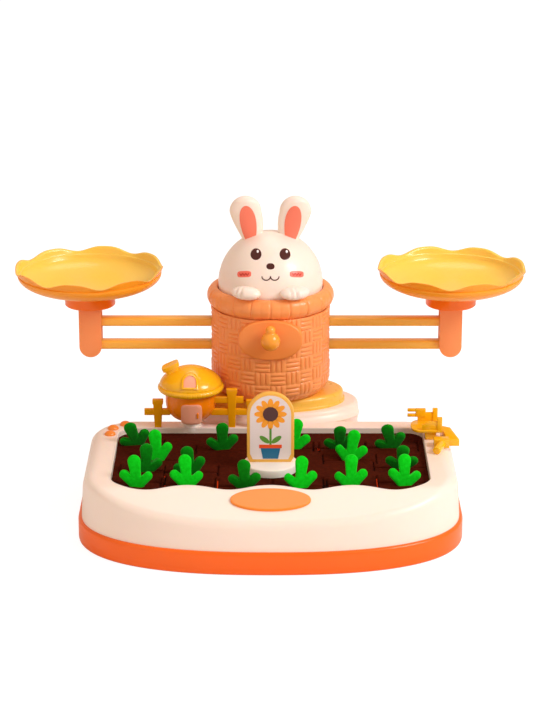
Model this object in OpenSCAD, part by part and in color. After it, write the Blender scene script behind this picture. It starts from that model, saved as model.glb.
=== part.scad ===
// Toy balance: a rabbit in a basket carries two level beams with a pan at each end,
// on a tray base planted with felt carrots that pull out.
// X runs along the beams, Y away from the front, Z up. The origin is on the floor under the column.

/* [Base] */
// Half width of the cream shell at its foot
base_half = 133.5; // [125:0.5:140]
// Reach of the bowed front from the column axis
base_front = 206; // [198:0.5:214]
// Reach of the back wall in front of the column axis
base_back = 27; // [24:0.5:29]
// Height of the orange lower shell
lower_h = 16.6; // [14:0.2:20]
// How far the orange lower shell stands out past the cream one
lower_lip = 2.4; // [1.5:0.1:3]
// Height of the flat border round the planting bed
tray_h = 48.8; // [46:0.2:54]
// Drop from the border to the shoulder of the front wall
shoulder_drop = 13.8; // [12:0.2:15]
// Lean of the walls between foot and shoulder
draft = 1.3; // [0.6:0.1:2]
// Rounding of the border's outer edge
edge_r = 11; // [8:0.5:12]
// Depth of the bow of the front
bow_depth = 76; // [70:0.5:82]
// Length of the front slope, seen from above
slope_len = 40.5; // [36:0.5:44]
// Wall of the cream shell
shell_t = 2.6; // [2:0.1:3]
// Wall of the orange shell
lower_t = 4.6; // [4:0.1:5.5]
// Floor of the orange shell
floor_t = 3; // [2:0.1:4]

/* [Planting bed] */
// Width of the border at each side of the bed opening
border_w = 22; // [21:0.5:25]
// Room between the rows of carrots and the top of the slope
lip_w = 1.5; // [1:0.1:3]
// How far the front lip reaches past the top of the slope
lip_ahead = 1; // [0:0.1:1.5]
// Distance from the basket's wall to the back of the bed opening
bed_gap = 1.4; // [0.8:0.1:3]
// Depth of the waves in the front lip
wave_h = 3.2; // [1:0.2:3.4]
// Length of one wave in the front lip
wave_len = 57.3; // [50:0.1:64]
// Drop from the border to the felt
felt_drop = 4.8; // [4:0.2:6]
// Thickness of the felt sheet
felt_t = 3; // [2:0.2:4]
// Thickness of the plate under the felt
bed_t = 2.5; // [2:0.1:4]

/* [Carrots] */
// Largest radius of a carrot root
root_r = 7.4; // [6:0.2:7.8]
// Length of a carrot root
root_l = 30; // [22:1:31]
// Height of a leaf above the felt
leaf_h = 24; // [18:0.5:28]
// Width of the middle lobe of a leaf
leaf_w = 9.4; // [7:0.2:11]
// Thickness of a leaf
leaf_t = 4; // [2.5:0.1:5]
// Gap round a root in the felt and the plate
root_gap = 0.3; // [0.2:0.1:1]

/* [Pedestal and basket] */
// Half length of the oval pedestal
pedestal_a = 66; // [62:0.5:70]
// How far the front of the oval pedestal lies behind the basket's wall
pedestal_in = 7.6; // [6.6:0.1:9.6]
// Height of the pedestal above the border
pedestal_rise = 7.2; // [5:0.2:10]
// Half length of the yellow oval foot
foot_a = 56; // [50:0.5:58]
// How far the yellow oval foot is set in from the front of the pedestal
foot_in = 3.5; // [3:0.1:4.5]
// Height of the yellow oval foot
foot_h = 9; // [7:0.2:12]
// Outer radius of the basket
basket_r = 44.6; // [43:0.2:46]
// Height of the basket wall
basket_h = 66; // [64:0.5:70]
// Wall of the basket
basket_t = 2.5; // [2:0.1:3]
// Rounding of the basket's bottom corner
basket_round = 11.8; // [9:0.2:12]
// Height of the rolled rim above the wall
rim_h = 15.5; // [13:0.5:18]
// How far the rolled rim stands out past the wall
rim_out = 2.6; // [1:0.2:4]

/* [Rabbit] */
// How far the head is set in from the basket's wall
head_inset = 5.8; // [5.6:0.1:7.6]
// Height of the head's centre above the rim's top
head_rise = 1.2; // [0:0.1:3]
// Wall of the head
head_t = 2.5; // [2:0.1:3]
// Radius of the round top of an ear
ear_r = 11.8; // [9:0.2:13]
// Distance from the head's centre line to the top of an ear
ear_x = 18.4; // [17:0.2:22]
// Height of the middle of an ear's round top above the head
ear_lift = 15.2; // [12:0.2:20]
// Thickness of an ear
ear_t = 9.4; // [8:0.2:12]
// Turn of a paw from the middle of the front, degrees
paw_turn = 24.5; // [19:0.5:30]
// Half height of a paw
paw_r = 5.8; // [4.5:0.1:6.5]

/* [Beams and pivots] */
// Distance from the column axis to each post axis
arm_x = 134.4; // [128:0.2:140]
// Height of the upper pivot above the basket's underside
pivot_rise = 52.5; // [51:0.5:54]
// Distance between the upper and lower pivots
pivot_gap = 18; // [17:0.5:19]
// Height of a beam
beam_h = 6.4; // [5:0.2:7]
// Depth of a beam
beam_w = 9; // [7:0.5:10]
// Largest tilt of the beams, degrees
tilt = 9; // [6:0.5:10]
// Radius of the pivot axles in the column
axle_r = 3; // [2:0.1:3.5]
// Radius of the pivot pins in the posts
pin_r = 2; // [1.5:0.1:2.5]
// Running gap round an axle or pin
run_gap = 0.06; // [0.03:0.01:0.1]
// Side gap between a beam and what it turns in
side_gap = 0.5; // [0.3:0.1:1]
// Radius of the pointer ball
knob_r = 7.1; // [5:0.1:8]
// Half width of the oval dial plate
dial_a = 23; // [20:0.5:24]
// Half height of the oval dial plate
dial_b = 14.8; // [12:0.2:15]

/* [Posts and pans] */
// Width of a post
post_w = 16.6; // [14:0.2:19]
// Depth of a post
post_t = 16; // [15:0.2:20]
// Height of a post's shoulder above the upper pivot
post_rise = 12.9; // [11:0.1:16]
// Radius of the spigot that carries a pan
spigot_r = 6; // [4:0.2:7]
// Height of the spigot
spigot_h = 6.6; // [5:0.2:7]
// Outer radius of a pan at its petals
pan_r = 55; // [50:0.5:57]
// Height of a pan from its collar's underside to the petal tips
pan_h = 30.2; // [27:0.2:34]
// Radius of the collar under a pan
collar_r = 18.7; // [14:0.2:22]
// Height of the collar under a pan
collar_h = 11.5; // [9:0.1:13]
// Wall of a pan
pan_t = 2.2; // [1.6:0.1:2.6]
// Number of petals round a pan
petals = 8; // [6:1:12]
// Depth of the dips between petals
petal_dip = 3.6; // [2:0.2:5]

/* [Garden pieces] */
// Radius of the house's roof
roof_r = 24.4; // [20:0.2:24.6]
// Radius of the house's body
house_r = 18.7; // [15:0.2:19]
// Height of the house's body
house_h = 19.6; // [18:0.2:24]
// Height of the house's roof
roof_h = 21; // [17:0.5:24]
// Width of the sign plate
sign_w = 33.4; // [28:0.2:36]
// Height of the sign plate above its base
sign_h = 52; // [40:1:60]
// Thickness of the sign plate
sign_t = 4; // [3:0.2:5]
// Radius of the sign's round base
sign_r = 19.2; // [17:0.2:21]
// Height of the sign's round base
sign_foot_h = 5.7; // [4.5:0.1:7]
// Half width of the oval badge
badge_a = 27.7; // [22:0.2:32]
// Half height of the oval badge
badge_b = 12.4; // [10:0.2:13]
// Radius of a corner stud
stud_r = 4.2; // [3:0.1:5]
// Seating gap between pieces that are put together
seat_gap = 0.05; // [0.02:0.01:0.1]

/* [Hidden] */
$fn = 64;
cream = "#FBEFE0";
orange = "#FF6A14";
peach = "#FB9158";
yellow = "#FFC23C";
green = "#18A020";
brown = "#4C1A10";
steel = "#B8BCC0";

// Reaches that follow from the base and the basket
slope_top = base_front - slope_len;
turn_y = base_front - bow_depth;
bed_half = base_half - border_w;
bed_front = slope_top + lip_ahead;
bed_back = basket_r + bed_gap;
bed_depth = slope_top - lip_w - bed_back;
pedestal_b = basket_r - pedestal_in;
foot_b = pedestal_b - foot_in;
head_r = basket_r - head_inset;
ear_rise = head_r + ear_lift;

// Heights that follow from the stack of pieces
pedestal_z = tray_h + pedestal_rise;
basket_z = pedestal_z + foot_h;
basket_top = basket_z + basket_h;
rim_top = basket_top + rim_h;
head_z = rim_top + head_rise;
upper_z = basket_z + pivot_rise;
lower_z = upper_z - pivot_gap;
post_top = upper_z + post_rise;
felt_top = tray_h - felt_drop;
bed_top = felt_top - felt_t;
bed_under = bed_top - bed_t;

// Roundness of the bowed front, back corners, and how much the back edge follows the border's rounding
bow_power = 2.4;
back_round = 24;
back_ease = 0.35;
// Foot of the front slope, and how far the slope runs forward for each millimetre that it drops
shoulder_in = 4.7;
slope_foot = base_front - draft - shoulder_in;
slope_run = (slope_foot - slope_top) / edge_r;
slope_angle = atan(1 / slope_run);
shoulder_z = tray_h - shoulder_drop;

// Screws that hold the two shells together, and the pillars under the bed plate
side_screw_in = 12.5;
side_screw_front = 26;
front_screw_side = 39.5;
front_screw_in = 10.5;
back_screw_in = 24;
back_screw_y = 8;
screw_spots = [for (s = [-1, 1]) each [
    [s * (base_half - side_screw_in), -bed_back - side_screw_front],
    [s * (bed_half - front_screw_side), -slope_top - front_screw_in],
    [s * (pedestal_a - back_screw_in), back_screw_y]
]];
screw_r = 1.5;
screw_head_r = 3.2;
screw_head_h = 2.4;
screw_l = 16;
screw_seat = 3;
boss_r = 4.2;
tube_h = 12;
tube_wall = 0.6;
head_clear = 0.3;
pillar_r = 4;
// Rounding of the bed's back and front corners, the felt past the opening, and the skirt round the opening
bed_round = 12;
lip_round = 14;
felt_over = 3;
felt_front_over = 4.5;
pedestal_edge = 3;
skirt_over = 2;
skirt_clear = 0.2;
// Chamfer round the foot, overshoot of a cut, and thickness of a layer in a stack of outlines
foot_edge = 2;
cut_over = 1;
sliver = 0.01;

// Planting places are shares of the bed's half width, from the middle, and of its depth, from the back
function place_x(share) = share * bed_half;
function place_y(share) = -bed_back - share * bed_depth;
pillar_places = [
    [-0.592, 0.22], [0, 0.119], [0.61, 0.136], [-0.323, 0.61], [0.323, 0.61], [-0.682, 0.78], [0.682, 0.763]
];
// Carrots: place across, place along, lean in degrees (back is positive), turn in degrees,
// and how far the leaf stands in front of the root's axis
carrots = [
    [-0.87, 0.212, -10, 6, 0], [-0.726, 0.475, 14, -8, 0], [-0.789, 0.644, -8, 10, 2],
    [-0.834, 0.831, 14, -6, 3], [-0.52, 0.669, -10, 5, 3], [-0.52, 0.864, 14, 6, 3],
    [-0.314, 0.314, -12, 4, 0], [-0.161, 0.89, -8, -8, 3], [0.17, 0.28, 12, -5, 0],
    [0.448, 0.271, -10, 6, 0], [0.529, 0.475, 14, -8, 0], [0.753, 0.263, -12, 5, 0],
    [0.83, 0.593, -10, -6, 2], [0.839, 0.831, 14, 7, 3], [0.502, 0.864, 14, -6, 3], [0.197, 0.89, 12, 8, 3]
];
leaf_sink = 3;
root_drop = 1.5;
root_widest = 0.88;
side_lobe_w = 7;
side_lobe_l = 10;
side_lobe_z = 5;
side_lobe_angle = 54;

// Lip and rounded edge of the yellow foot, and what is left under its screw holes
foot_lip = 1.2;
foot_lip_h = 2.2;
foot_edge_r = 3;
foot_skin = 1.5;

// Column inside the basket
cheek_t = 3.5;
cheek_w = 22;
cheek_y = beam_w / 2 + side_gap;
column_foot = 17;
column_foot_h = 4;
column_screw_spot = 13;
column_screw_l = 5;
axle_end = cheek_y + cheek_t + 3;
axle_clear = 1;
hub_r = 7.6;
lug_l = 16;
lug_w = 12;
lug_join = 2;
slot_clear = 2;
slot_w = beam_w + 2 * slot_clear;
slot_reach = beam_h / 2 + basket_r * tan(tilt) + slot_clear / 2;
dial_proud = 2.2;
nub_r = 2.3;
nub_h = 4;
dial_gap = 0.3;
dial_drop = 1.6;
knob_y = basket_r + dial_proud + knob_r + dial_gap;

// Lower part of an ear, its peg in the head, and the coral lining set into its front
ear_low_x = ear_x - 4;
ear_low_z = head_z + ear_rise - 15.6;
ear_low_r = ear_r - 3;
peg_r = 2.2;
peg_l = 14;
peg_sink = 12;
lining_y = 2.6;
lining_drop = 2.6;
lining_r = 6.3;
lining_low_r = 5.2;

// Paws on the rim
paw_reach = head_r + 4.6;
paw_up = 3.6;
paw_spread = 6.4;
paw_step = 0.7;

// Ledge and skirt of the rolled rim: the head stands on the ledge, the skirt centres the rim in the basket
head_gap = 0.4;
rim_core = 2;
ledge_up = 1;
ledge_w = 4.2;
ledge_h = 3;
skirt_h = 2;
skirt_t = 2.2;
skirt_gap = 0.2;

// Posts and pans
post_slot = beam_w + 2 * side_gap;
eye_r = 4.6;
eye_gap = 1;
eye_over = 2.4;
pin_skin = 1;
petal_h = 6.1;
petal_out = 2.7;
pan_wall_z = pan_h - petal_h;
pan_crease_r = pan_r - petal_out;
socket_clear = 0.4;
collar_edge = 0.6;
petal_cut_r = 20;

// House on a low boss of the border, close by the basket
house_in = 8;
house_y = -bed_back + house_in;
house_gap = 1;
house_x = -sqrt(pow(basket_r + roof_r + house_gap, 2) - pow(house_y, 2));
house_boss_h = 5;
house_boss_r = 7.4;
house_foot_r = 7;
house_bowl_h = 14;
house_z = tray_h + house_boss_h;
roof_z = house_z + house_h;
roof_band_h = 5.2;
roof_band_r = 2.6;
roof_step = 1.4;
door_w = 15.4;
door_h = 15.7;
door_up = 1;
door_t = 1;
window_w = 12.6;
window_h = 6.7;
window_up = 11.3;
window_t = 1.2;
chimney_x = 10.4;
chimney_sink = 10;
chimney_lean = 24;
chimney_r = 5.2;
chimney_h = 11;
chimney_cap_r = 6.6;
chimney_cap_z = 8;
chimney_cap_h = 4.4;

// Fence: posts and rails by their distance from the house's middle, with the height of each
fence_in = 2.5;
fence_y = -bed_back + fence_in;
fence_post_w = 7.6;
fence_post_t = 3.6;
fence_taper = 1;
rail_h = 4.8;
rail_t = 2.6;
rail_low = 12;
rail_high = 21.4;
fence_posts = [[-24.2, 21.8], [30.3, 30], [44.8, 21.5]];
fence_rails = [[-34.2, 0, rail_low], [0, 44.8, rail_low], [0, 38.8, rail_high]];

// Sign on the felt, studs by their distance from the side and the back
sign_y = place_y(0.61);
sign_sink = 3;
sign_in = 3;
sign_step = 4;
sign_edge = 0.8;
stud_sink = 1.2;
badge_down = 12.5;
badge_t = 1.6;
stud_spots = [[26, 12], [17.5, 20.5], [16, 33]];

// Cart on the right border
cart_side = 17.1;
cart_front = 16.8;
cart_l = 17;
cart_w = 23.4;
cart_nose = 5.6;
cart_bed_z = 6.4;
cart_bed_t = 1.8;
cart_block_l = 8.6;
cart_block_w = 12;
cart_block_y = 3.4;
board_l = 12;
board_t = 1.6;
board_h = 6.6;
board_in = 1;
board_step = 2.6;
stake_w = 3.7;
stake_t = 3;
stake_h = 9.6;
handle_l = 13;
handle_h = 4.4;
handle_t = 2.8;
handle_fork = 6.4;
ramp_l = 22;
ramp_w = 8.6;
ramp_shift = 4;
ramp_foot = 5.2;
roller_r = 2.9;
roller_l = 18.5;
roller_turn = 18.6;
roller_x = 2.3;
roller_y = 39.7;
hitch_l = 7;
hitch_w = 8;
hitch_h = 6.2;

// Power of a number that keeps its sign
function keep_sign(v, p) = sign(v) * pow(abs(v), p);

// Reach of the bowed front at a place across
function bow(x, w, front) = turn_y + (front - turn_y) * pow(1 - pow(abs(x) / w, bow_power), 1 / bow_power);

// Quarter circle of a rounded corner, from a start angle
function corner(x, y, r, start) = [for (a = [start : 15 : start + 90]) [x + r * cos(a), y + r * sin(a)]];

// Outline of the base: bowed front, straight sides, rounded back corners
function outline(w, front, back) = concat(
    [for (i = [0 : 32]) let (a = 180 + i * 180 / 32)
        [w * keep_sign(cos(a), 2 / bow_power),
         -turn_y + (front - turn_y) * keep_sign(sin(a), 2 / bow_power)]],
    corner(w - back_round, -back - back_round, back_round, 0),
    corner(back_round - w, -back - back_round, back_round, 90)
);

// Oval outline
function oval(a, b, n = 48) = [for (i = [0 : n - 1]) [a * cos(i * 360 / n), b * sin(i * 360 / n)]];

// Outline of the bed opening, with its wavy front lip and rounded front corners, grown by a margin
function corner_drop(x) = let (past = min(lip_round, max(0, abs(x) - bed_half + lip_round)))
    lip_round - sqrt(pow(lip_round, 2) - pow(past, 2));
function lip_y(x, wave) = -bed_front + corner_drop(x) + wave * cos(360 * x / wave_len);
function opening(grow, lip_grow, wave) = let (w = bed_half + grow, r = bed_round) concat(
    corner(w - r, -bed_back + grow - r, r, 0),
    corner(r - w, -bed_back + grow - r, r, 90),
    [for (i = [-36 : 36]) let (x = w * sin(i * 90 / 36)) [x, lip_y(x, wave) - lip_grow]]
);

// A level of the cream shell: height, half width, front and back reach, all drawn in by an inset
function rounded_level(a, inset) = let (
    z = tray_h - edge_r * (1 - sin(a)),
    drawn = edge_r * (1 - cos(a))
) [z - inset, base_half - draft - drawn - inset,
   base_front - draft - drawn - inset, base_back + draft + back_ease * drawn + inset];
function shell_levels(inset) = concat(
    [[lower_h + (inset > 0 ? -cut_over : sliver), base_half - inset, base_front - inset, base_back + inset],
     [shoulder_z - inset, base_half - draft - inset, base_front - draft - inset, base_back + draft + inset]],
    [for (a = [0 : 30 : 90]) rounded_level(a, inset)]
);

// Height of the front slope, a flat plane down to the shoulder above the front wall
function slope_z(y) = tray_h - (-y - slope_top) / slope_run;

// Everything under the front slope and its shoulder, lowered by an inset
module under_slope(inset) {
    reach = base_front + cut_over;
    translate([-base_half - cut_over, 0, 0]) rotate([90, 0, 90]) linear_extrude(2 * (base_half + cut_over))
        polygon([
            [0, 0], [0, slope_z(0) - inset], [-slope_foot, slope_z(-slope_foot) - inset],
            [draft - base_front, shoulder_z - inset], [-reach, shoulder_z - 2 * draft - inset], [-reach, 0]
        ]);
}

module shell_solid(inset) {
    intersection() {
        hull() {
            for (level = shell_levels(inset)) {
                translate([0, 0, level[0] - sliver]) linear_extrude(sliver)
                    polygon(outline(level[1], level[2], level[3]));
            }
        }
        under_slope(inset);
    }
}

module oval_prism(a, b, h) {
    linear_extrude(h) polygon(oval(a, b));
}

// An oval disc with a rounded top edge
module oval_disc(a, b, h, r) {
    hull() {
        oval_prism(a, b, h - r);
        oval_prism(a - 0.3 * r, b - 0.3 * r, h - 0.3 * r);
        oval_prism(a - r, b - r, h);
    }
}

// A bar with round ends between two points of the X Z plane, centred on Y
module lobe(p, angle, l, w, t) {
    translate([p[0], 0, p[1]]) rotate([90, -angle, 0]) linear_extrude(t, center = true) {
        circle(w / 2);
        translate([-w / 2, 0]) square([w, l]);
        translate([0, l]) circle(w / 2);
    }
}

// Cylinder along Y, from y0 to y1
module rod_y(x, z, r, y0, y1) {
    translate([x, y0, z]) rotate([-90, 0, 0]) cylinder(r = r, h = y1 - y0);
}

module lower_shell() color(orange) {
    out = base_half + lower_lip;
    front = base_front + lower_lip;
    back = base_back - lower_lip;
    drum_a = pedestal_a + lower_lip;
    drum_b = pedestal_b + lower_lip;
    difference() {
        union() {
            difference() {
                union() {
                    hull() {
                        linear_extrude(sliver)
                            polygon(outline(out - foot_edge, front - foot_edge, back + foot_edge));
                        translate([0, 0, foot_edge]) linear_extrude(lower_h - foot_edge)
                            polygon(outline(out, front, back));
                    }
                    hull() {
                        oval_prism(drum_a - foot_edge, drum_b - foot_edge, sliver);
                        translate([0, 0, foot_edge]) oval_prism(drum_a, drum_b, lower_h - foot_edge);
                    }
                }
                translate([0, 0, floor_t]) linear_extrude(lower_h) union() {
                    polygon(outline(out - lower_t, front - lower_t, back + lower_t));
                    polygon(oval(drum_a - lower_t, drum_b - lower_t));
                }
            }
            for (s = screw_spots) translate([s[0], s[1], 0]) cylinder(r = boss_r + tube_wall, h = tube_h);
            for (p = pillar_places) translate([place_x(p[0]), place_y(p[1]), 0])
                cylinder(r = pillar_r, h = bed_under);
        }
        for (s = screw_spots) translate([s[0], s[1], 0]) {
            translate([0, 0, -cut_over]) cylinder(r = screw_r + seat_gap, h = tube_h + 2 * cut_over);
            translate([0, 0, -cut_over])
                cylinder(r = screw_head_r + head_clear, h = tube_h - screw_seat + cut_over);
        }
    }
}

module upper_shell() color(cream) difference() {
    union() {
        difference() {
            union() {
                shell_solid(0);
                translate([0, 0, lower_h])
                    oval_disc(pedestal_a, pedestal_b, pedestal_z - lower_h, pedestal_edge);
            }
            shell_solid(shell_t);
            translate([0, 0, lower_h - cut_over]) oval_prism(
                pedestal_a - shell_t, pedestal_b - shell_t, pedestal_z - shell_t - lower_h + cut_over);
            translate([0, 0, felt_top]) linear_extrude(tray_h) polygon(opening(0, 0, wave_h));
        }
        difference() {
            translate([0, 0, felt_top + skirt_clear]) linear_extrude(tray_h - shell_t - felt_top)
                intersection() {
                    polygon(opening(skirt_over, 0, wave_h));
                    translate([-base_half, -bed_front + 2 * bed_round]) square([2 * base_half, bed_front]);
                }
            translate([0, 0, felt_top]) linear_extrude(tray_h) polygon(opening(0, 0, wave_h));
        }
        for (s = screw_spots) translate([s[0], s[1], tube_h]) cylinder(r = boss_r, h = boss_top(s) - tube_h);
        translate([house_x, house_y, tray_h - shell_t / 2])
            cylinder(r = house_boss_r, h = house_boss_h + shell_t / 2);
    }
    for (s = screw_spots) translate([s[0], s[1], tube_h - cut_over])
        cylinder(r = screw_r + seat_gap, h = screw_l);
}

// Middle of the cream shell's wall above a screw, where its boss ends
function boss_top(s) = s[1] > -base_back ? pedestal_z - shell_t / 2
    : -s[1] > slope_top ? slope_z(s[1] - boss_r) - shell_t / 2
    : tray_h - shell_t;

module shell_screws() color(steel) for (s = screw_spots) translate([s[0], s[1], tube_h - screw_seat]) {
    translate([0, 0, -screw_head_h]) cylinder(r = screw_head_r, h = screw_head_h);
    cylinder(r = screw_r, h = screw_l);
}

// Sheet under the border, with a round hole for each carrot
module bed_sheet(h) {
    difference() {
        linear_extrude(h) polygon(opening(felt_over, felt_front_over, 0));
        for (c = carrots) translate([place_x(c[0]), place_y(c[1]), -cut_over])
            cylinder(r = root_r + root_gap, h = h + 2 * cut_over);
    }
}

module bed_plate() color(orange) translate([0, 0, bed_under]) bed_sheet(bed_t);

module soil_felt() color(brown) translate([0, 0, bed_top]) bed_sheet(felt_t);

// A felt carrot: a root that swells and tapers, and a leaf with three round lobes
function root_tip(t) = sqrt(1 - pow(abs(2 * min(t, 0.5) - 1), 6));
function root_taper(t) = t < root_widest ? 0.42 + 0.58 * pow(t / root_widest, 0.7)
    : sqrt(1 - 0.8 * pow((t - root_widest) / (1 - root_widest), 2));
function root_point(t) = [root_r * root_tip(t) * root_taper(t), root_l * t];
module carrot(c) {
    x = place_x(c[0]);
    y = place_y(c[1]);
    translate([x, y, felt_top - root_drop - root_l]) color(orange) rotate_extrude()
        polygon(concat([[0, 0]], [for (i = [1 : 20]) root_point(i / 20)], [[0, root_l]]));
    translate([x, y - c[4], felt_top]) rotate([-c[2], 0, c[3]]) color(green) {
        lobe([0, -leaf_sink], 0, leaf_h + leaf_sink - leaf_w / 2, leaf_w, leaf_t);
        for (s = [-1, 1]) lobe([0, side_lobe_z], s * side_lobe_angle, side_lobe_l, side_lobe_w, leaf_t);
    }
}

module front_badge() color(orange) {
    mid = slope_top + badge_down;
    translate([0, -mid, tray_h - (mid - slope_top) / slope_run]) rotate([slope_angle, 0, 0])
        translate([0, 0, seat_gap]) oval_disc(badge_a, badge_b, badge_t, badge_t / 2);
}

module corner_studs() color(orange) for (s = stud_spots)
    translate([s[0] - base_half, -base_back - s[1], tray_h]) difference() {
        translate([0, 0, -stud_sink]) sphere(stud_r);
        translate([0, 0, -stud_r]) cube([4 * stud_r, 4 * stud_r, 2 * stud_r], center = true);
    }

// House
function house_points(grow) = concat([[0, 0], [house_foot_r + grow, 0]],
    [for (a = [11.25 : 11.25 : 90])
        [house_foot_r + (house_r - house_foot_r) * sin(a) + grow, house_bowl_h * (1 - cos(a))]],
    [[house_r + grow, house_h], [0, house_h]]);
module house_solid(grow) {
    translate([house_x, house_y, house_z]) rotate_extrude() polygon(house_points(grow));
}
function roof_points(grow) = concat([[0, 0]],
    [for (a = [-90 : 30 : 90])
        [roof_r - roof_band_r + roof_band_r * cos(a) + grow, roof_band_h / 2 * (1 + sin(a))]],
    [for (a = [0 : 9 : 90])
        [(roof_r - roof_step + grow) * cos(a), roof_band_h + (roof_h - roof_band_h + grow) * sin(a)]]);
module roof_solid(grow) {
    translate([house_x, house_y, roof_z]) rotate_extrude() polygon(roof_points(grow));
}
// Arched prism that reaches forward from the house axis
module arch(w, z0, h) {
    spring = h - w / 3;
    translate([house_x, house_y, z0]) rotate([90, 0, 0]) linear_extrude(2 * roof_r)
        polygon(concat([[-w / 2, 0], [w / 2, 0]],
            [for (a = [0 : 7.5 : 180]) [w / 2 * cos(a), spring + w / 3 * sin(a)]]));
}
module house_body() color("#FF8A1E") house_solid(0);
module house_roof() color("#FFB81E") roof_solid(0);
module house_door() color("#F8A07A") difference() {
    intersection() {
        house_solid(door_t);
        arch(door_w, house_z + door_up, door_h);
    }
    house_solid(seat_gap);
}
module house_window() color("#F8A07A") difference() {
    intersection() {
        roof_solid(window_t);
        arch(window_w, roof_z + window_up, window_h);
    }
    roof_solid(seat_gap);
}
module house_chimney() color("#FFB81E") difference() {
    translate([house_x - chimney_x, house_y, roof_z + roof_h - chimney_sink]) rotate([0, -chimney_lean, 0]) {
        cylinder(r = chimney_r, h = chimney_h);
        translate([0, 0, chimney_cap_z]) cylinder(r = chimney_cap_r, h = chimney_cap_h);
    }
    roof_solid(seat_gap);
}

// Fence: posts that taper down from a flat top, and square rails
module fence_post(x, h) {
    top = fence_post_w / 2;
    foot = top - fence_taper;
    translate([house_x + x, fence_y, tray_h]) rotate([90, 0, 0]) linear_extrude(fence_post_t, center = true)
        polygon([[-foot, 0], [foot, 0], [top, h], [-top, h]]);
}
module fence_rail(x0, x1, z) {
    translate([house_x + x0, fence_y - rail_t / 2, tray_h + z - rail_h / 2]) cube([x1 - x0, rail_t, rail_h]);
}
module garden_fence() color(yellow) difference() {
    union() {
        for (p = fence_posts) fence_post(p[0], p[1]);
        for (r = fence_rails) fence_rail(r[0], r[1], r[2]);
    }
    house_solid(seat_gap);
}

// Small handcart on the right border: a bed with two side boards and stakes, a block under it,
// a forked handle, a ramp, a hitch and a roller
module cart_board() {
    translate([-cart_l / 2 + board_in, -board_t / 2, 0]) rotate([90, 0, 0]) translate([0, 0, -board_t])
        linear_extrude(board_t) polygon([[0, 0], [board_l, 0], [board_l, board_h], [board_l / 2, board_h],
            [0, board_h - board_step]]);
    translate([-cart_l / 2 + board_l, -stake_t / 2, 0]) cube([stake_w, stake_t, stake_h]);
}
module cart_ramp() intersection() {
    linear_extrude(tray_h) polygon([[0, 0], [ramp_w - board_t, -ramp_w / 2],
        [ramp_w + ramp_shift, -ramp_l], [ramp_shift, -ramp_l]]);
    rotate([90, 0, 90]) linear_extrude(2 * cart_l)
        polygon([[-ramp_l, 0], [0, 0], [0, cart_bed_z + cart_bed_t], [-ramp_l / 4, cart_bed_z + cart_bed_t],
            [-ramp_l, ramp_foot]]);
}
module farm_cart() color(yellow) translate([base_half - cart_side, -bed_back - cart_front, tray_h]) {
    board_y = cart_w / 2 - board_t;
    top = cart_bed_z + cart_bed_t;
    translate([0, 0, cart_bed_z]) linear_extrude(cart_bed_t)
        polygon(concat([[cart_l / 2, -cart_w / 2], [cart_l / 2, cart_w / 2]],
            [for (a = [90 : 10 : 270]) [-cart_l / 2 + cart_nose * cos(a), cart_w / 2 * sin(a)]]));
    translate([-cart_block_l / 2, -cart_block_y - cart_block_w / 2, 0])
        cube([cart_block_l, cart_block_w, cart_bed_z]);
    translate([-board_in, board_y, top - seat_gap]) cart_board();
    translate([board_in, -board_y, top - seat_gap]) cart_board();
    translate([-cart_l / 2 - board_in, board_y, top + board_h - board_step]) {
        translate([0, -handle_t / 2, 0]) cube([handle_l / 2, handle_t, handle_h]);
        for (z = [0, handle_h * 2 / 3]) translate([-handle_fork, -handle_t / 2, z])
            cube([handle_fork + board_in, handle_t, handle_h / 3]);
    }
    translate([cart_l / 2 - board_in, 0, 0]) cart_ramp();
    translate([cart_l / 2 - hitch_l, -ramp_l - hitch_w / 2, 0])
        cube([hitch_l + ramp_shift, hitch_w, hitch_h]);
    translate([roller_x, -roller_y, roller_r]) rotate([-90, 0, -roller_turn])
        cylinder(r = roller_r, h = roller_l);
}

// Screw holes of the column, from a height up
module column_screw_holes(z, h) {
    for (x = [-1, 1]) for (y = [-1, 1])
        translate([x * column_screw_spot, y * column_screw_spot, z]) cylinder(r = screw_r + seat_gap, h = h);
}

module basket_foot() color("#FFC95A") translate([0, 0, pedestal_z]) difference() {
    union() {
        oval_prism(foot_a, foot_b, foot_lip_h);
        oval_disc(foot_a - foot_lip, foot_b - foot_lip, foot_h, foot_edge_r);
    }
    column_screw_holes(foot_skin, foot_h);
}

module basket() color(peach) difference() {
    translate([0, 0, basket_z]) rotate_extrude() difference() {
        union() {
            square([basket_r - basket_round, basket_round]);
            translate([basket_r - basket_round, basket_round]) circle(basket_round);
            translate([0, basket_round]) square([basket_r, basket_h - basket_round]);
        }
        translate([0, basket_t]) union() {
            square([basket_r - basket_round, basket_round]);
            translate([basket_r - basket_round, basket_round - basket_t]) circle(basket_round - basket_t);
            translate([0, basket_round - basket_t]) square([basket_r - basket_t, basket_h]);
        }
        translate([-2 * basket_r, 0]) square([2 * basket_r, basket_h]);
    }
    for (s = [-1, 1]) translate([s * basket_r, 0, (upper_z + lower_z) / 2])
        cube([basket_r, slot_w, pivot_gap + 2 * slot_reach], center = true);
    rod_y(0, upper_z, axle_r + axle_clear, -basket_r - cut_over, -basket_r / 2);
    column_screw_holes(basket_z - cut_over, basket_t + 2 * cut_over);
}

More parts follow.
